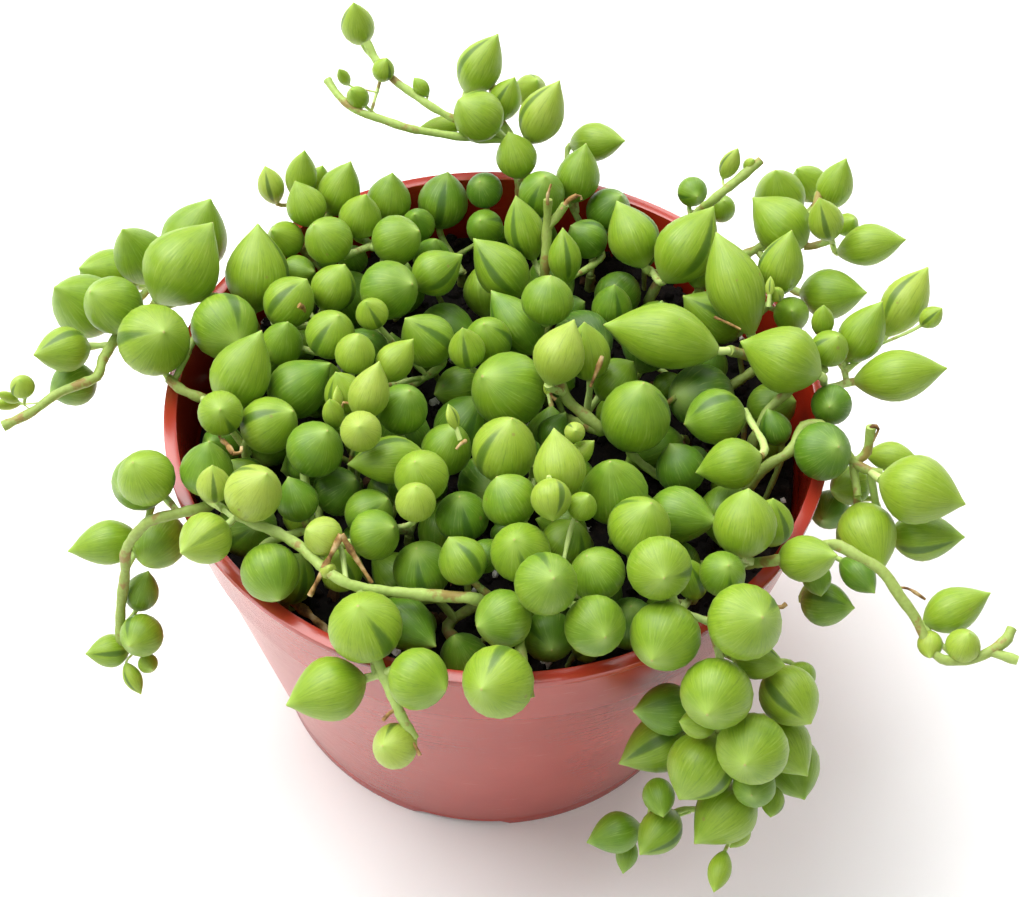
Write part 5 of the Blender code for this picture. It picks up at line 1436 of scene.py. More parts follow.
def open_tree(name, inputs, output):
    """A new tree with named inputs, and what its input node gives."""
    tree = bpy.data.node_groups.new(name, "GeometryNodeTree")
    for title, kind in inputs.items():
        tree.interface.new_socket(title, in_out="INPUT", socket_type="NodeSocket" + kind)
    tree.interface.new_socket(output, in_out="OUTPUT", socket_type="NodeSocketGeometry")
    return tree, add_node(tree, "NodeGroupInput").outputs


def geometry(tree, kind, inputs, **settings):
    """The first output of a Geometry Nodes node."""
    return add_node(tree, "GeometryNode" + kind, inputs, **settings).outputs[0]


def shapes_in(tree, collection):
    """A collection's objects, one instance each."""
    return geometry(tree, "CollectionInfo", {
        "Collection": collection, "Separate Children": True, "Reset Children": True})


def leaves_on_points(tree, given, points):
    """A leaf shape on each point, turned and sized as the point says, then subdivided once."""
    placed = geometry(tree, "InstanceOnPoints", {
        "Points": points, "Instance": shapes_in(tree, given["Leaf shapes"]), "Pick Instance": True,
        "Instance Index": attribute(tree, "shape", "INT"),
        "Rotation": attribute(tree, "turn", "FLOAT_VECTOR"),
        "Scale": attribute(tree, "size", "FLOAT_VECTOR")})
    leaves = geometry(tree, "RealizeInstances", {0: placed})
    leaves = geometry(tree, "SubdivisionSurface", {"Mesh": leaves, "Level": 1})
    return geometry(tree, "SetMaterial", {"Geometry": leaves, "Material": given["Leaf skin"]})


def swept_stems(tree, given, edges):
    """A circle swept along the edges, a little knobbly where leaves and roots leave them."""
    lines = geometry(tree, "MeshToCurve", {0: edges})
    lines = geometry(tree, "ResampleCurve", {"Curve": lines, "Length": given["Stem step"]}, mode="LENGTH")
    bumps = add_node(tree, "ShaderNodeTexNoise", {"Scale": per_mm(0.45), "Detail": 1.0}).outputs[0]
    swell = times(tree, minus(tree, bumps, 0.5), given["Knobbliness"])
    radius = times(tree, attribute(tree, "radius"), plus(tree, swell, 1.0))
    lines = geometry(tree, "SetCurveRadius", {"Curve": lines, "Radius": radius})
    section = geometry(tree, "CurvePrimitiveCircle", {"Resolution": 8, "Radius": 1.0})
    sweep = add_node(tree, "GeometryNodeCurveToMesh", {
        "Curve": lines, "Profile Curve": section, "Fill Caps": True})
    if "Scale" in sweep.inputs:
        tree.links.new(radius, sweep.inputs["Scale"])
    return geometry(tree, "SetMaterial", {
        "Geometry": sweep.outputs[0], "Material": given["Stem skin"]})


def make_strand_tree():
    tree, given = open_tree("dress_strand", {
        "Skeleton": "Geometry", "Leaf shapes": "Collection", "Stem step": "Float",
        "Knobbliness": "Float", "Leaf skin": "Material", "Stem skin": "Material"}, "Strand")
    parted = add_node(tree, "GeometryNodeSeparateGeometry", {
        "Geometry": given["Skeleton"], "Selection": attribute(tree, "leaf", "BOOLEAN")},
        domain="POINT").outputs
    leaves = leaves_on_points(tree, given, parted["Selection"])
    stems = swept_stems(tree, given, parted["Inverted"])
    joined = add_node(tree, "GeometryNodeJoinGeometry")
    tree.links.new(leaves, joined.inputs[0])
    tree.links.new(stems, joined.inputs[0])
    smooth = geometry(tree, "SetShadeSmooth", {"Geometry": joined.outputs[0]})
    add_node(tree, "NodeGroupOutput", {0: geometry(tree, "RealizeInstances", {0: smooth})})
    return tree


strand_tree = make_strand_tree()
print("inputs of the tree:", [item.name for item in strand_tree.interface.items_tree])


def set_inputs(modifier, **values):
    """Sets a Geometry Nodes modifier's inputs by their sockets' identifiers."""
    for item in modifier.node_group.interface.items_tree:
        key = item.name.lower().replace(" ", "_")
        if item.in_out == "INPUT" and key in values:
            modifier[item.identifier] = values.pop(key)
    assert not values, values


def settled(holder, name):
    """The evaluated object as a plain mesh object at the origin. The holder is removed."""
    bpy.context.view_layer.update()
    graph = bpy.context.evaluated_depsgraph_get()
    mesh = bpy.data.meshes.new_from_object(holder.evaluated_get(graph))
    mesh.name = name
    bpy.data.objects.remove(holder, do_unlink=True)
    return add_object(name, mesh)


# %% [markdown]
# ## Skeletons
#
# The skeleton holds what the growing gave. A stalk leaves its stem along the way to the leaf and
# arrives along the leaf's own direction, which is what a Hermite curve does. A leaf's window faces the
# light, more or less, so its turn about its own axis is towards the sky with a random share.

# %% Skeletons
STALK_STEPS = 6
WINDOW_SPREAD = 1.1
TOWARDS_LIGHT = Vector((0.0, -0.35, 1.0))
draw = np.random.default_rng(31)


def stalk_line(leaf):
    """A stalk's points, from the stem to a little way inside the leaf."""
    start = leaf["start"]
    end = leaf_base(leaf) + leaf["axis"] * leaf["length"] * 0.03
    span = np.linalg.norm(end - start)
    leave = (end - start) * 0.9
    arrive = leaf["axis"] * span * 0.6
    points = []
    for t in np.linspace(0.0, 1.0, STALK_STEPS):
        points.append(
            (2 * t ** 3 - 3 * t ** 2 + 1) * start + (t ** 3 - 2 * t ** 2 + t) * leave
            + (3 * t ** 2 - 2 * t ** 3) * end + (t ** 3 - t ** 2) * arrive)
    return np.array(points)


def leaf_turn(leaf):
    """The leaf's Z along its axis and its Y, the window's side, near the sky."""
    forward = Vector(leaf["axis"])
    side = TOWARDS_LIGHT - forward * forward.dot(TOWARDS_LIGHT)
    if side.length < 0.05:
        side = Vector((1.0, 0.0, 0.0)) - forward * forward.x
    side.normalize()
    turn = Matrix.Rotation(float(draw.normal(0.0, WINDOW_SPREAD)), 3, forward)
    side = turn @ side
    across = side.cross(forward)
    return Matrix((across, side, forward)).transposed().to_euler()


def leaf_kind(leaf):
    """The number of the shape that suits the leaf's width and slenderness."""
    slender = leaf["length"] / leaf["width"]
    if leaf["width"] < 5.0:
        return 3
    if slender < 1.28:
        return 0
    return 1 if slender < 1.75 else 2


def trunk_line(root, stem):
    """The main stem's points, up from its root's hole in the soil."""
    bottom = np.array([root[0], root[1], SOIL_TOP - HOLE_DEPTH + GAP])
    if len(stem) == 1:
        return np.vstack([bottom, stem])
    return np.vstack([bottom, smooth_line(stem, 1.5)])


POINT_VALUES = {
    "leaf": ("BOOLEAN", "value"), "shape": ("INT", "value"), "turn": ("FLOAT_VECTOR", "vector"),
    "size": ("FLOAT_VECTOR", "vector"), "age": ("FLOAT", "value"), "chance": ("FLOAT", "value"),
    "radius": ("FLOAT", "value")}


def new_skeleton():
    return {"points": [], "edges": [], **{key: [] for key in POINT_VALUES}}


def add_point(skeleton, place, **values):
    skeleton["points"].append(metres(place))
    for key, value in values.items():
        skeleton[key].append(value)


def add_line(skeleton, points, radii, age):
    """Edges along the points, with a radius in millimetres at each."""
    first = len(skeleton["points"])
    for index, (point, radius) in enumerate(zip(points, radii)):
        add_point(
            skeleton, point, leaf=False, shape=0, turn=(0.0, 0.0, 0.0), size=(1.0, 1.0, 1.0),
            age=age, chance=0.5, radius=radius * MM)
        if index:
            skeleton["edges"].append((first + index - 1, first + index))


def add_leaf(skeleton, leaf, thickness=1.0):
    """A loose point where the leaf starts. Its thickness is a share of its width."""
    half = leaf["width"] / 2 * MM
    add_point(
        skeleton, leaf_base(leaf), leaf=True, shape=leaf_kind(leaf), turn=tuple(leaf_turn(leaf)),
        size=(half, half * thickness, leaf["length"] * MM), age=leaf["age"],
        chance=float(draw.random()), radius=0.0)


def skeleton_object(name, skeleton):
    mesh = bpy.data.meshes.new(name)
    mesh.from_pydata(skeleton["points"], skeleton["edges"], [])
    for key, (kind, field) in POINT_VALUES.items():
        layer = mesh.attributes.new(key, kind, "POINT")
        layer.data.foreach_set(field, np.array(skeleton[key]).ravel())
    return add_object(name, mesh)


def dressed(skeleton, name, line_skin, step, knobs):
    """The strand tree's result on a skeleton, as a plain mesh piece. The step is in millimetres."""
    holder = skeleton_object(name + "_skeleton", skeleton)
    modifier = holder.modifiers.new("dress", "NODES")
    modifier.node_group = strand_tree
    set_inputs(
        modifier, leaf_shapes=leaf_shapes, stem_step=step * MM, knobbliness=knobs,
        leaf_skin=leaf_skin, stem_skin=line_skin)
    return settled(holder, name)


def make_strand(node, root, stems, leaves):
    """One strand, dressed, standing for its node."""
    skeleton = new_skeleton()
    age = float(np.mean([leaf["age"] for leaf in leaves]))
    trunk = trunk_line(root, stems[0])
    add_line(skeleton, trunk, np.linspace(STEM_RADIUS, STEM_RADIUS * 0.85, len(trunk)), age * 0.7)
    for stem in stems[1:]:
        line = smooth_line(stem, 1.5)
        add_line(skeleton, line, np.full(len(line), STEM_RADIUS * 0.8), age * 0.9)
    for leaf in leaves:
        line = stalk_line(leaf)
        thick = min(NECK_RADIUS, leaf["width"] * 0.075)
        radii = np.linspace(thick * 0.95, thick * 1.15, len(line))
        add_line(skeleton, line, radii, min(1.0, leaf["age"] + 0.35))
        add_leaf(skeleton, leaf)
    piece = dressed(skeleton, node.replace("strand_", "leafy_"), stem_skin, 0.9, 0.4)
    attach(piece, "root")
    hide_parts(node)
    return len(piece.data.polygons)


# %% Dress the strands
faces = [make_strand(node, *plant[node]) for node in strand_nodes if node in plant]
print(len(faces), "strands dressed with", sum(faces), "faces")

# %% [markdown]
# ## Leaves in the depth
#
# Below the strands that can be read, the mound is full of older, darker leaves, and only scraps of each
# are seen in the gaps. Their dark tone is partly the colour of old leaves and partly painted shade for
# the depth of the mound. They could be copies of a strand, but copies would cut through it. Instead they
# are grown where there is room: a place is drawn at random inside the pot, the leaf takes the size that
# fits there, and it stands on a short stalk from the soil. Places that are taken are passed over.

# %% Leaves in the depth
DEPTH_TRIES = 12000
DEPTH_LOWEST = -8.0
DEPTH_HIGHEST = 3.5
DEPTH_RING = 47.0
DEPTH_LEAVES = 200
DEPTH_WIDTHS = (10.5, 4.2)
DEPTH_GAP = 0.15
DEPTH_SOIL_GAP = 0.2
DEPTH_WALL_GAP = 0.4
DEPTH_STALK = 0.5
FOOT_TRIES = 6
FOOT_SPREAD = 2.0
FOOT_DEPTH = 2.0
STALK_SPACING = 0.8
depth_draw = np.random.default_rng(19)


def solid_balls():
    """Balls along every leaf and stem of the strands."""
    leaves = [leaf for _, _, grown in plant.values() for leaf in grown]
    centres, radii = balls_of(leaves, np.array([leaf["middle"] for leaf in leaves]))
    centres = [centres.reshape(-1, 3)]
    radii = [radii.ravel()]
    for root, stems, grown in plant.values():
        lines = [trunk_line(root, stems[0])] + [smooth_line(stem, 1.5) for stem in stems[1:]]
        for line in lines:
            centres.append(sampled(line, 1.0))
            radii.append(np.full(len(centres[-1]), STEM_RADIUS))
        for leaf in grown:
            line = sampled(stalk_line(leaf), STALK_SPACING)
            centres.append(line)
            radii.append(np.full(len(line), NECK_RADIUS))
    return np.concatenate(centres), np.concatenate(radii)


def depth_leaf(share):
    """A leaf drawn at random: later tries are smaller."""
    radius = DEPTH_RING * math.sqrt(depth_draw.random())
    turn = TAU * depth_draw.random()
    height = POT_HEIGHT + DEPTH_LOWEST + (DEPTH_HIGHEST - DEPTH_LOWEST) * depth_draw.random()
    middle = np.array([radius * math.cos(turn), radius * math.sin(turn), height])
    axis = depth_draw.normal(size=3) * 0.8 + np.array([0.0, 0.0, 0.9])
    width = DEPTH_WIDTHS[0] + (DEPTH_WIDTHS[1] - DEPTH_WIDTHS[0]) * share
    width = width * (0.9 + 0.2 * depth_draw.random())
    # The low ages give dark tones: partly old leaves, partly painted shade deep in the mound
    return {
        "middle": middle, "axis": axis / np.linalg.norm(axis), "width": width,
        "length": width * (1.15 + 0.25 * depth_draw.random()), "age": 0.12 + 0.3 * depth_draw.random()}


def depth_stalk(leaf, centres, radii):
    """Starts the leaf's stalk in the soil, where it has a clear way, and says whether there is one."""
    base = leaf_base(leaf)
    for _ in range(FOOT_TRIES):
        foot = base + np.append(depth_draw.normal(size=2) * FOOT_SPREAD, 0.0)
        foot[2] = SOIL_TOP - FOOT_DEPTH
        if np.hypot(foot[0], foot[1]) > DEPTH_RING:
            continue
        leaf["start"] = foot
        line = sampled(stalk_line(leaf), STALK_SPACING)
        if clearance(line[:-1], DEPTH_STALK, centres, radii) > 0.05:
            return True
    return False


def grow_depth():
    """The drawn leaves that have room, each checked against all that stand before it."""
    centres, radii = solid_balls()
    kept = []
    for attempt in range(DEPTH_TRIES):
        leaf = depth_leaf(attempt / DEPTH_TRIES)
        own_centres, own_radii = balls_of([leaf], leaf["middle"][None])
        own_centres = own_centres[0]
        own_radii = own_radii[0]
        gap = np.linalg.norm(own_centres[:, None] - centres[None], axis=2) - own_radii[:, None] - radii[None]
        if gap.min() < DEPTH_GAP or (own_centres[:, 2] - own_radii).min() < SOIL_TOP + DEPTH_SOIL_GAP:
            continue
        reach = (np.hypot(own_centres[:, 0], own_centres[:, 1]) + own_radii).max()
        if reach > wall_radii(leaf["middle"][2])[0] - DEPTH_WALL_GAP:
            continue
        if not depth_stalk(leaf, centres, radii):
            continue
        kept.append(leaf)
        line = sampled(stalk_line(leaf), STALK_SPACING)[:-1]
        centres = np.vstack([centres, own_centres, line])
        radii = np.concatenate([radii, own_radii, np.full(len(line), DEPTH_STALK)])
        if len(kept) == DEPTH_LEAVES:
            break
    return kept


def dress_depth(leaves):
    skeleton = new_skeleton()
    for leaf in leaves:
        line = stalk_line(leaf)
        add_line(skeleton, line, np.linspace(0.45, 0.55, len(line)), 0.35)
        add_leaf(skeleton, leaf)
    return dressed(skeleton, "leaves_in_the_depth", stem_skin, 2.0, 0.4)


depth_leaves = grow_depth()
depth_piece = dress_depth(depth_leaves)
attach(depth_piece, "root")
print(len(depth_leaves), "leaves in the depth,", len(depth_piece.data.polygons), "faces")

# %% [markdown]
# ## The pot
#
# The solid pot is turned with 32 steps, which shows as corners on the rim. The scene's pot is turned
# from the same profile with 144, and its edges are rounded as a mould's are. A bmesh spin turns the
# profile; the four foot notches are lifted in the mesh, and the six drain holes are cut by a Boolean.

# %% Pot
TURN_STEPS = 144
EDGE_ROUND = 0.28


def pot_profile():
    """Floor centre, up the inside, over the rim, down the outside and in along the underside."""
    collar_foot = POT_HEIGHT - COLLAR_HEIGHT
    inner_foot = wall_radii(FLOOR_TOP + 1.0)[0]
    inner_step = wall_radii(collar_foot - 0.1)[0]
    inner_collar = wall_radii(collar_foot)[0]
    outer_collar = RIM_RADIUS - LIP_OVERHANG
    foot_inner = BASE_RADIUS - FOOT_WIDTH
    return [
        (0.0, FLOOR_TOP), (inner_foot - 1.0, FLOOR_TOP), (inner_foot, FLOOR_TOP + 1.0),
        (inner_step, collar_foot - 0.8), (inner_collar, collar_foot + 0.4),
        (RIM_RADIUS - RIM_WIDTH, POT_HEIGHT), (RIM_RADIUS, POT_HEIGHT),
        (RIM_RADIUS, POT_HEIGHT - LIP_HEIGHT),
        (outer_collar, POT_HEIGHT - LIP_HEIGHT - LIP_OVERHANG),
        (outer_collar - COLLAR_DRAFT, collar_foot + COLLAR_STEP),
        (outer_collar - COLLAR_DRAFT - COLLAR_STEP, collar_foot),
        (BASE_RADIUS, NOTCH_HEIGHT + 1.0), (BASE_RADIUS, 0.0), (foot_inner, 0.0),
        (foot_inner - CHANNEL_DEPTH, CHANNEL_DEPTH), (PAD_RADIUS + CHANNEL_DEPTH, CHANNEL_DEPTH),
        (PAD_RADIUS, 0.0), (0.0, 0.0)]


def rounded(profile, size):
    """The profile with each corner off the axis replaced by three points of a small arc."""
    out = [profile[0]]
    for before, corner, after in zip(profile, profile[1:], profile[2:]):
        corner = np.array(corner)
        arms = [np.array(before) - corner, np.array(after) - corner]
        lengths = [np.linalg.norm(arm) for arm in arms]
        cutback = min(size, 0.3 * min(lengths))
        first = corner + arms[0] / lengths[0] * cutback
        last = corner + arms[1] / lengths[1] * cutback
        middle = (first + last + 2 * corner) / 4
        out += [tuple(first), tuple(middle), tuple(last)]
    return out + [profile[-1]]


def in_fixed_order(mesh):
    """Puts the faces in the order of their points, which Spin leaves to chance, so that runs agree."""
    faces = []
    for polygon in mesh.polygons:
        corners = list(polygon.vertices)
        start = corners.index(min(corners))
        faces.append(corners[start:] + corners[:start])
    points = [tuple(vertex.co) for vertex in mesh.vertices]
    mesh.clear_geometry()
    mesh.from_pydata(points, [], sorted(faces))
    return mesh


def turned(name, profile, steps):
    """The profile turned about Z into a closed mesh that faces outwards."""
    bm = bmesh.new()
    chain = [bm.verts.new((radius * MM, 0.0, height * MM)) for radius, height in profile]
    edges = [bm.edges.new(pair) for pair in zip(chain, chain[1:])]
    bmesh.ops.spin(
        bm, geom=chain + edges, cent=(0.0, 0.0, 0.0), axis=(0.0, 0.0, 1.0), angle=TAU, steps=steps,
        use_merge=True, use_duplicate=False)
    bmesh.ops.remove_doubles(bm, verts=bm.verts, dist=0.00001)
    bmesh.ops.recalc_face_normals(bm, faces=bm.faces)
    return add_object(name, in_fixed_order(finished_mesh(bm, name)))


def lift_notches(mesh):
    """Lifts the foot ring's underside where the four notches are."""
    half = NOTCH_WIDTH / 2 / BASE_RADIUS
    for vertex in mesh.vertices:
        across = math.hypot(vertex.co.x, vertex.co.y) / MM
        turn = math.atan2(vertex.co.y, vertex.co.x) - NOTCH_TURN
        away = abs((turn + TAU / NOTCHES / 2) % (TAU / NOTCHES) - TAU / NOTCHES / 2)
        if across > BASE_RADIUS - FOOT_WIDTH - 0.5 and vertex.co.z < NOTCH_HEIGHT * MM and away < half:
            vertex.co.z = max(vertex.co.z, NOTCH_HEIGHT * MM)


def drill_drains(pot):
    bm = bmesh.new()
    for index in range(DRAINS):
        turn = TAU * index / DRAINS
        drill = bmesh.ops.create_cone(
            bm, cap_ends=True, segments=32, radius1=DRAIN_RADIUS * MM, radius2=DRAIN_RADIUS * MM,
            depth=12 * MM)["verts"]
        bmesh.ops.translate(
            bm, verts=drill, vec=metres((DRAIN_RING * math.cos(turn), DRAIN_RING * math.sin(turn), 1.0)))
    drills = add_object("drills", finished_mesh(bm, "drills"))
    holes = pot.modifiers.new("drains", "BOOLEAN")
    holes.operation = "DIFFERENCE"
    holes.solver = "EXACT"
    holes.object = drills
    made = settled(pot, "nursery_pot")
    bpy.data.objects.remove(drills, do_unlink=True)
    return made


def smoothed(mesh, degrees):
    """Shades the mesh smooth, with edges sharper than this kept crisp."""
    for polygon in mesh.polygons:
        polygon.use_smooth = True
    mesh.set_sharp_from_angle(angle=math.radians(degrees))


pot = turned("pot_blank", rounded(pot_profile(), EDGE_ROUND), TURN_STEPS)
lift_notches(pot.data)
pot = drill_drains(pot)
smoothed(pot.data, 32)
pot.data.materials.clear()
pot.data.materials.append(pot_plastic)
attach(pot, "root")
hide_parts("pot")
print("pot:", len(pot.data.polygons), "faces,", [round(v * 1000, 2) for v in pot.dimensions], "mm")

# %% [markdown]
# ## The potting mix
#
# The surface is a disc with lumps, and crumbs of peat, perlite and bark are strewn on it. The lumps
# come from a noise; the crumbs are a few small rocks scattered by Geometry Nodes with a fixed seed,
# which is how gravel or sprinkles would be made too. The stems stand in the mix, so it needs no holes.

# %% Soil
CRUMB_SHAPES = 4
SOIL_TURN_STEPS = 96


def make_soil_body():
    bottom = FLOOR_TOP + GAP
    foot = wall_radii(FLOOR_TOP + 1.0)[0] - 1.0 - GAP
    edge = wall_radii(SOIL_TOP - 0.6)[0] - GAP - 0.2
    step = wall_radii(POT_HEIGHT - COLLAR_HEIGHT - 0.8)[0] - GAP - 0.2
    profile = [(0.0, SOIL_TOP)] + [(radius, SOIL_TOP) for radius in np.arange(2.0, edge - 1.0, 1.6)]
    profile += [
        (edge - 0.6, SOIL_TOP - 1.0), (step, POT_HEIGHT - COLLAR_HEIGHT - 1.2),
        (foot + 0.4, bottom + 1.2), (foot - 0.8, bottom), (0.0, bottom)]
    return turned("soil_body", profile, SOIL_TURN_STEPS)


def put_away(collection):
    """Removes a collection of shapes once its copies are made."""
    for shape in list(collection.objects):
        bpy.data.objects.remove(shape, do_unlink=True)
    bpy.data.collections.remove(collection)


def make_crumbs(name, stretch, seed, collection):
    """Small rough lumps to strew, 20 faces each."""
    chance = np.random.default_rng(seed)
    for index in range(CRUMB_SHAPES):
        bm = bmesh.new()
        bmesh.ops.create_icosphere(bm, subdivisions=1, radius=0.5)
        for vertex in bm.verts:
            vertex.co *= 0.75 + 0.5 * chance.random()
            vertex.co.x *= stretch
        mesh = finished_mesh(bm, f"{name}_{index}")
        collection.objects.link(bpy.data.objects.new(mesh.name, mesh))


def make_strew_tree():
    tree, given = open_tree("strew_crumbs", {
        "Surface": "Geometry", "Crumb shapes": "Collection", "Density": "Float", "Smallest": "Float",
        "Largest": "Float", "Seed": "Int", "Finish": "Material"}, "Crumbs")
    normal = geometry(tree, "InputNormal", {})
    upward = math_node(tree, "GREATER_THAN", parts_of(tree, normal)["Z"], 0.6)
    points = geometry(tree, "DistributePointsOnFaces", {
        "Mesh": given["Surface"], "Selection": upward, "Density": given["Density"],
        "Seed": given["Seed"]})
    size = add_node(tree, "FunctionNodeRandomValue", {
        2: given["Smallest"], 3: given["Largest"], "Seed": given["Seed"]}, data_type="FLOAT").outputs[1]
    turn = add_node(tree, "FunctionNodeRandomValue", {
        0: (0.0, 0.0, 0.0), 1: (TAU, TAU, TAU), "Seed": given["Seed"]},
        data_type="FLOAT_VECTOR").outputs[0]
    placed = geometry(tree, "InstanceOnPoints", {
        "Points": points, "Instance": shapes_in(tree, given["Crumb shapes"]), "Pick Instance": True,
        "Rotation": turn, "Scale": size})
    real = geometry(tree, "RealizeInstances", {0: placed})
    finished = geometry(tree, "SetMaterial", {"Geometry": real, "Material": given["Finish"]})
    add_node(tree, "NodeGroupOutput", {0: finished})
    return tree


def lump(mesh):
    """Lowers the top by a noise of two sizes, so that no point is above the solid's top."""
    for vertex in mesh.vertices:
        across = math.hypot(vertex.co.x, vertex.co.y) / MM
        if vertex.co.z > (SOIL_TOP - 0.5) * MM and across < 47.5:
            coarse = noise.noise(vertex.co * per_mm(0.11)) + 0.5 * noise.noise(vertex.co * per_mm(0.4))
            vertex.co.z -= (1.0 + 0.9 * coarse) * MM


def strew(name, surface, shapes, density, smallest, largest, seed, finish):
    holder = surface.copy()
    bpy.context.scene.collection.objects.link(holder)
    modifier = holder.modifiers.new("strew", "NODES")
    modifier.node_group = strew_tree
    set_inputs(
        modifier, crumb_shapes=shapes, density=density, smallest=smallest * MM, largest=largest * MM,
        seed=seed, finish=finish)
    piece = settled(holder, name)
    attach(piece, "root")
    print(name, len(piece.data.polygons), "faces")


soil = make_soil_body()
soil.name = "potting_mix"
lump(soil.data)
soil.data.materials.append(damp_peat)
smoothed(soil.data, 40)
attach(soil, "root")
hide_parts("soil")
strew_tree = make_strew_tree()
lumps = bpy.data.collections.new("lump_shapes")
chips = bpy.data.collections.new("chip_shapes")
make_crumbs("lump", 1.15, 3, lumps)
make_crumbs("chip", 2.4, 5, chips)
strew("peat_crumbs", soil, lumps, 190000.0, 0.7, 2.4, 11, damp_peat)
strew("perlite_grains", soil, lumps, 12000.0, 1.0, 2.6, 12, popped_perlite)
strew("bark_chips", soil, chips, 9000.0, 1.2, 2.8, 13, chipped_bark)
for collection in (lumps, chips):
    put_away(collection)

# %% [markdown]
# ## Dried bits
#
# A plant that has lived a while carries dead ends: a bent tendril, spent flower stalks, curled bracts
# and a root that shows on the soil. They are few and each has its own line, so they are read one by one
# like the stems, and swept by the same tree. A pair of radii tapers each, in millimetres.

# %% Dried bits
# (start radius, end radius, seen places and heights over the rim along it)
DRIED = (
    (0.42, 0.5, ((-27.0, -40.8, 5.0), (-25.3, -35.5, 8.6), (-23.3, -29.2, 12.0))),
    (0.46, 0.34, ((-23.3, -29.2, 12.0), (-21.0, -33.0, 9.6), (-17.8, -38.0, 7.0))),
    (0.95, 0.8, ((-38.3, -30.0, -3.5), (-36.6, -33.5, -6.0), (-34.5, -37.5, -8.5))),
    (0.75, 0.6, ((-30.0, -41.8, -9.5), (-27.0, -44.0, -10.4), (-23.4, -47.2, -10.8), (-20.5, -48.6, -11.4))),
    (0.4, 0.22, ((7.1, 46.8, 13.6), (7.0, 49.0, 15.2), (7.6, 52.2, 16.8))),
    (0.36, 0.5, ((9.6, 45.6, 12.4), (10.9, 48.2, 13.8), (12.4, 49.4, 14.4))),
    (0.3, 0.2, ((12.4, 49.4, 14.4), (13.3, 49.3, 13.8), (13.2, 48.4, 13.4))),
    (0.5, 0.3, ((-44.2, -11.6, 8.6), (-43.2, -12.6, 10.0), (-42.2, -14.2, 10.2))),
    (0.32, 0.2, ((-42.2, -14.2, 10.2), (-41.0, -13.9, 9.9), (-41.0, -12.8, 9.4))),
    (0.3, 0.18, ((-44.2, -11.6, 8.6), (-44.9, -10.8, 9.2), (-44.3, -10.0, 9.4))),
    (0.34, 0.5, ((-34.0, 17.6, 8.4), (-34.4, 18.4, 9.8), (-35.2, 19.0, 10.4))),
    (0.34, 0.2, ((-25.6, -3.6, 10.6), (-25.5, -2.4, 11.8), (-24.4, -2.6, 12.0), (-23.9, -3.4, 11.6))),
    (0.45, 0.28, ((-5.0, -9.4, 10.6), (-5.9, -10.2, 11.2), (-6.4, -11.2, 10.8))),
    (0.26, 0.4, ((15.2, 3.4, 9.6), (16.2, 6.8, 11.0), (17.2, 10.4, 12.4))),
    (0.5, 0.32, ((9.4, 2.6, 8.6), (8.6, 1.4, 9.2), (9.4, 0.4, 8.4))),
    (0.22, 0.16, ((36.6, 20.6, 12.2), (38.8, 19.4, 12.6), (41.0, 18.0, 12.4))),
    (0.3, 0.2, ((62.8, -34.4, -1.2), (64.6, -34.6, 0.2), (66.9, -36.4, -0.6))),
    (0.34, 0.24, ((60.3, -8.3, 4.0), (61.6, -2.5, 9.0), (62.8, -2.8, 9.0), (61.6, -5.6, 6.6))),
    (0.3, 0.4, ((43.0, -38.2, 2.0), (44.4, -39.2, 1.6), (45.4, -38.4, 2.4))),
    (0.34, 0.26, ((-12.2, -59.7, -1.0), (-13.4, -60.6, -0.8), (-14.2, -61.8, -1.5))),
    (0.34, 0.28, ((-9.6, -65.2, -3.4), (-8.9, -66.4, -3.8), (-8.5, -67.2, -4.3))),
)

# Small yellow-green bracts: (seen x, seen y, tip's seen x, tip's seen y, height, width, length)
BRACTS = (
    (-26.5, -1.8, -26.9, 1.4, 11.4, 2.6, 4.6),
    (-7.4, -4.4, -8.6, -0.6, 12.6, 3.0, 4.4),
    (46.6, 28.6, 46.9, 31.6, 12.2, 1.6, 3.6),
    (8.0, 2.6, 7.6, 4.4, 9.4, 1.6, 2.6),
)
BRACT_THICKNESS = 0.45


def make_dried_bits():
    skeleton = new_skeleton()
    for first, last, readings in DRIED:
        line = smooth_line(np.array([on_sight_line(*reading) for reading in readings]), 0.6)
        add_line(skeleton, line, np.linspace(first, last, len(line)), 0.0)
    return dressed(skeleton, "dried_bits", dry_husk, 0.6, 1.1)


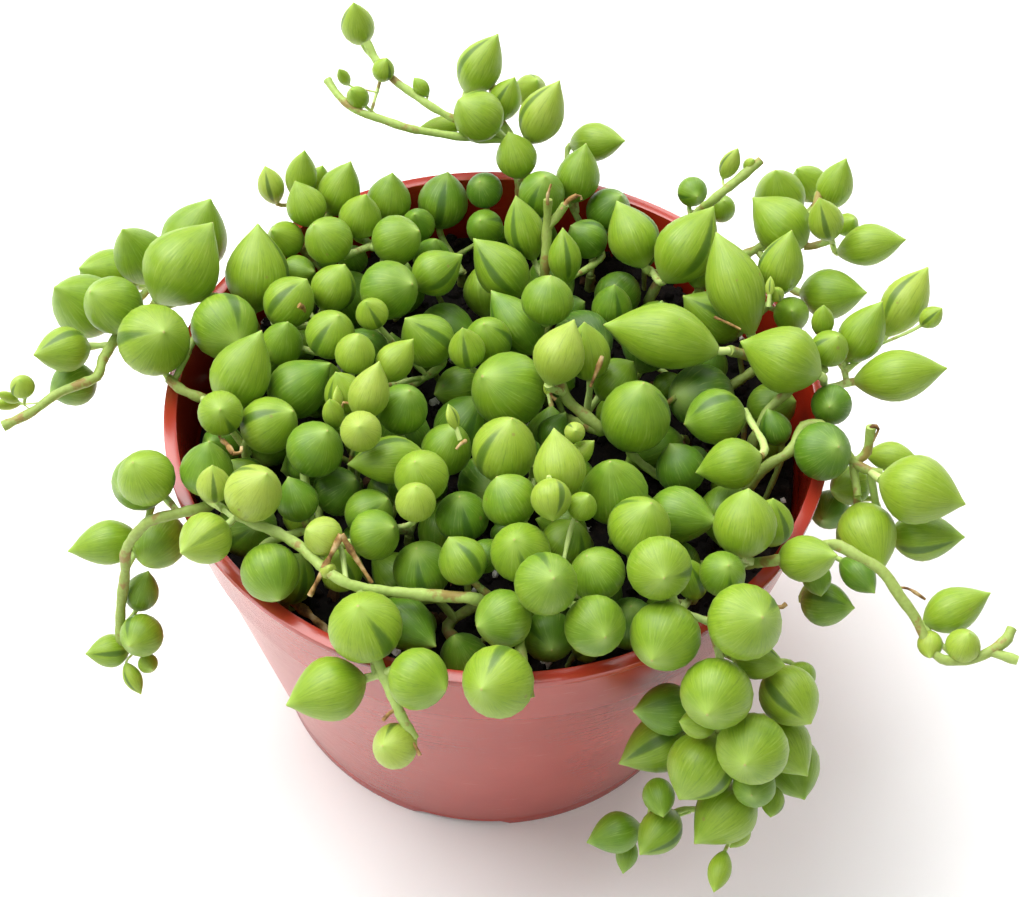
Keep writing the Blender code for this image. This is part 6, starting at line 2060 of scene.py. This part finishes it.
def make_bracts():
    """Flat buds, each on the end of a short stalk."""
    skeleton = new_skeleton()
    for x, y, tip_x, tip_y, height, width, length in BRACTS:
        middle = on_sight_line(x, y, height)
        axis = tip_direction(middle, tip_x, tip_y, length)
        leaf = {"middle": middle, "axis": axis, "width": width, "length": length, "age": 0.95}
        foot = leaf_base(leaf)
        stalk = np.array([foot - axis * 1.6, foot - axis * 0.6, foot + axis * 0.5])
        add_line(skeleton, stalk, np.full(3, 0.4), 0.9)
        add_leaf(skeleton, leaf, BRACT_THICKNESS)
    return dressed(skeleton, "bracts", stem_skin, 0.6, 0.3)


for piece in (make_dried_bits(), make_bracts()):
    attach(piece, "root")
    print(piece.name, len(piece.data.polygons), "faces")
put_away(leaf_shapes)

# %% [markdown]
# ## The stage
#
# The photograph has a plain white ground and soft, bright daylight. A wide pale floor, a white world
# and three large soft lights give that: one high and a little to the left, one from the front, and
# one from behind that lights the leaves' edges and passes through the fresh ones.

# %% Floor, light and world
def make_floor():
    bm = bmesh.new()
    bmesh.ops.create_grid(bm, x_segments=8, y_segments=8, size=3.0)
    floor = add_object("floor", finished_mesh(bm, "floor"))
    made, tree, shader = new_material("pale_paper", Roughness=0.9, Specular_IOR_Level=0.1)
    grain = cloud_field(tree, object_place(tree), per_mm(0.01), 2.0)
    tree.links.new(ramp(tree, grain, ((0.3, "#fbfbfa"), (0.7, "#ffffff"))), shader.inputs["Base Color"])
    floor.data.materials.append(made)
    return floor


def make_light(name, place, aim, power, size):
    light = bpy.data.lights.new(name, "AREA")
    light.shape = "DISK"
    light.size = size
    light.energy = power
    holder = add_object(name, light)
    holder.location = Vector(place)
    holder.rotation_euler = (Vector(aim) - Vector(place)).to_track_quat("-Z", "Y").to_euler()
    return holder


def make_world(strength):
    world = bpy.data.worlds.new("white_room")
    bpy.context.scene.world = world
    world.use_nodes = True
    background = world.node_tree.nodes["Background"]
    background.inputs["Color"].default_value = paint("#ffffff")
    background.inputs["Strength"].default_value = strength


make_floor()
make_light("high_left", (-0.45, 0.3, 1.0), (0.0, 0.0, 0.06), 24.0, 1.3)
make_light("front", (-0.5, -1.0, 0.8), (0.0, 0.0, 0.05), 3.0, 0.9)
make_light("behind", (0.4, 0.9, 0.6), (0.0, 0.0, 0.07), 4.5, 0.7)
make_world(0.36)
bpy.context.scene.view_settings.view_transform = "Standard"
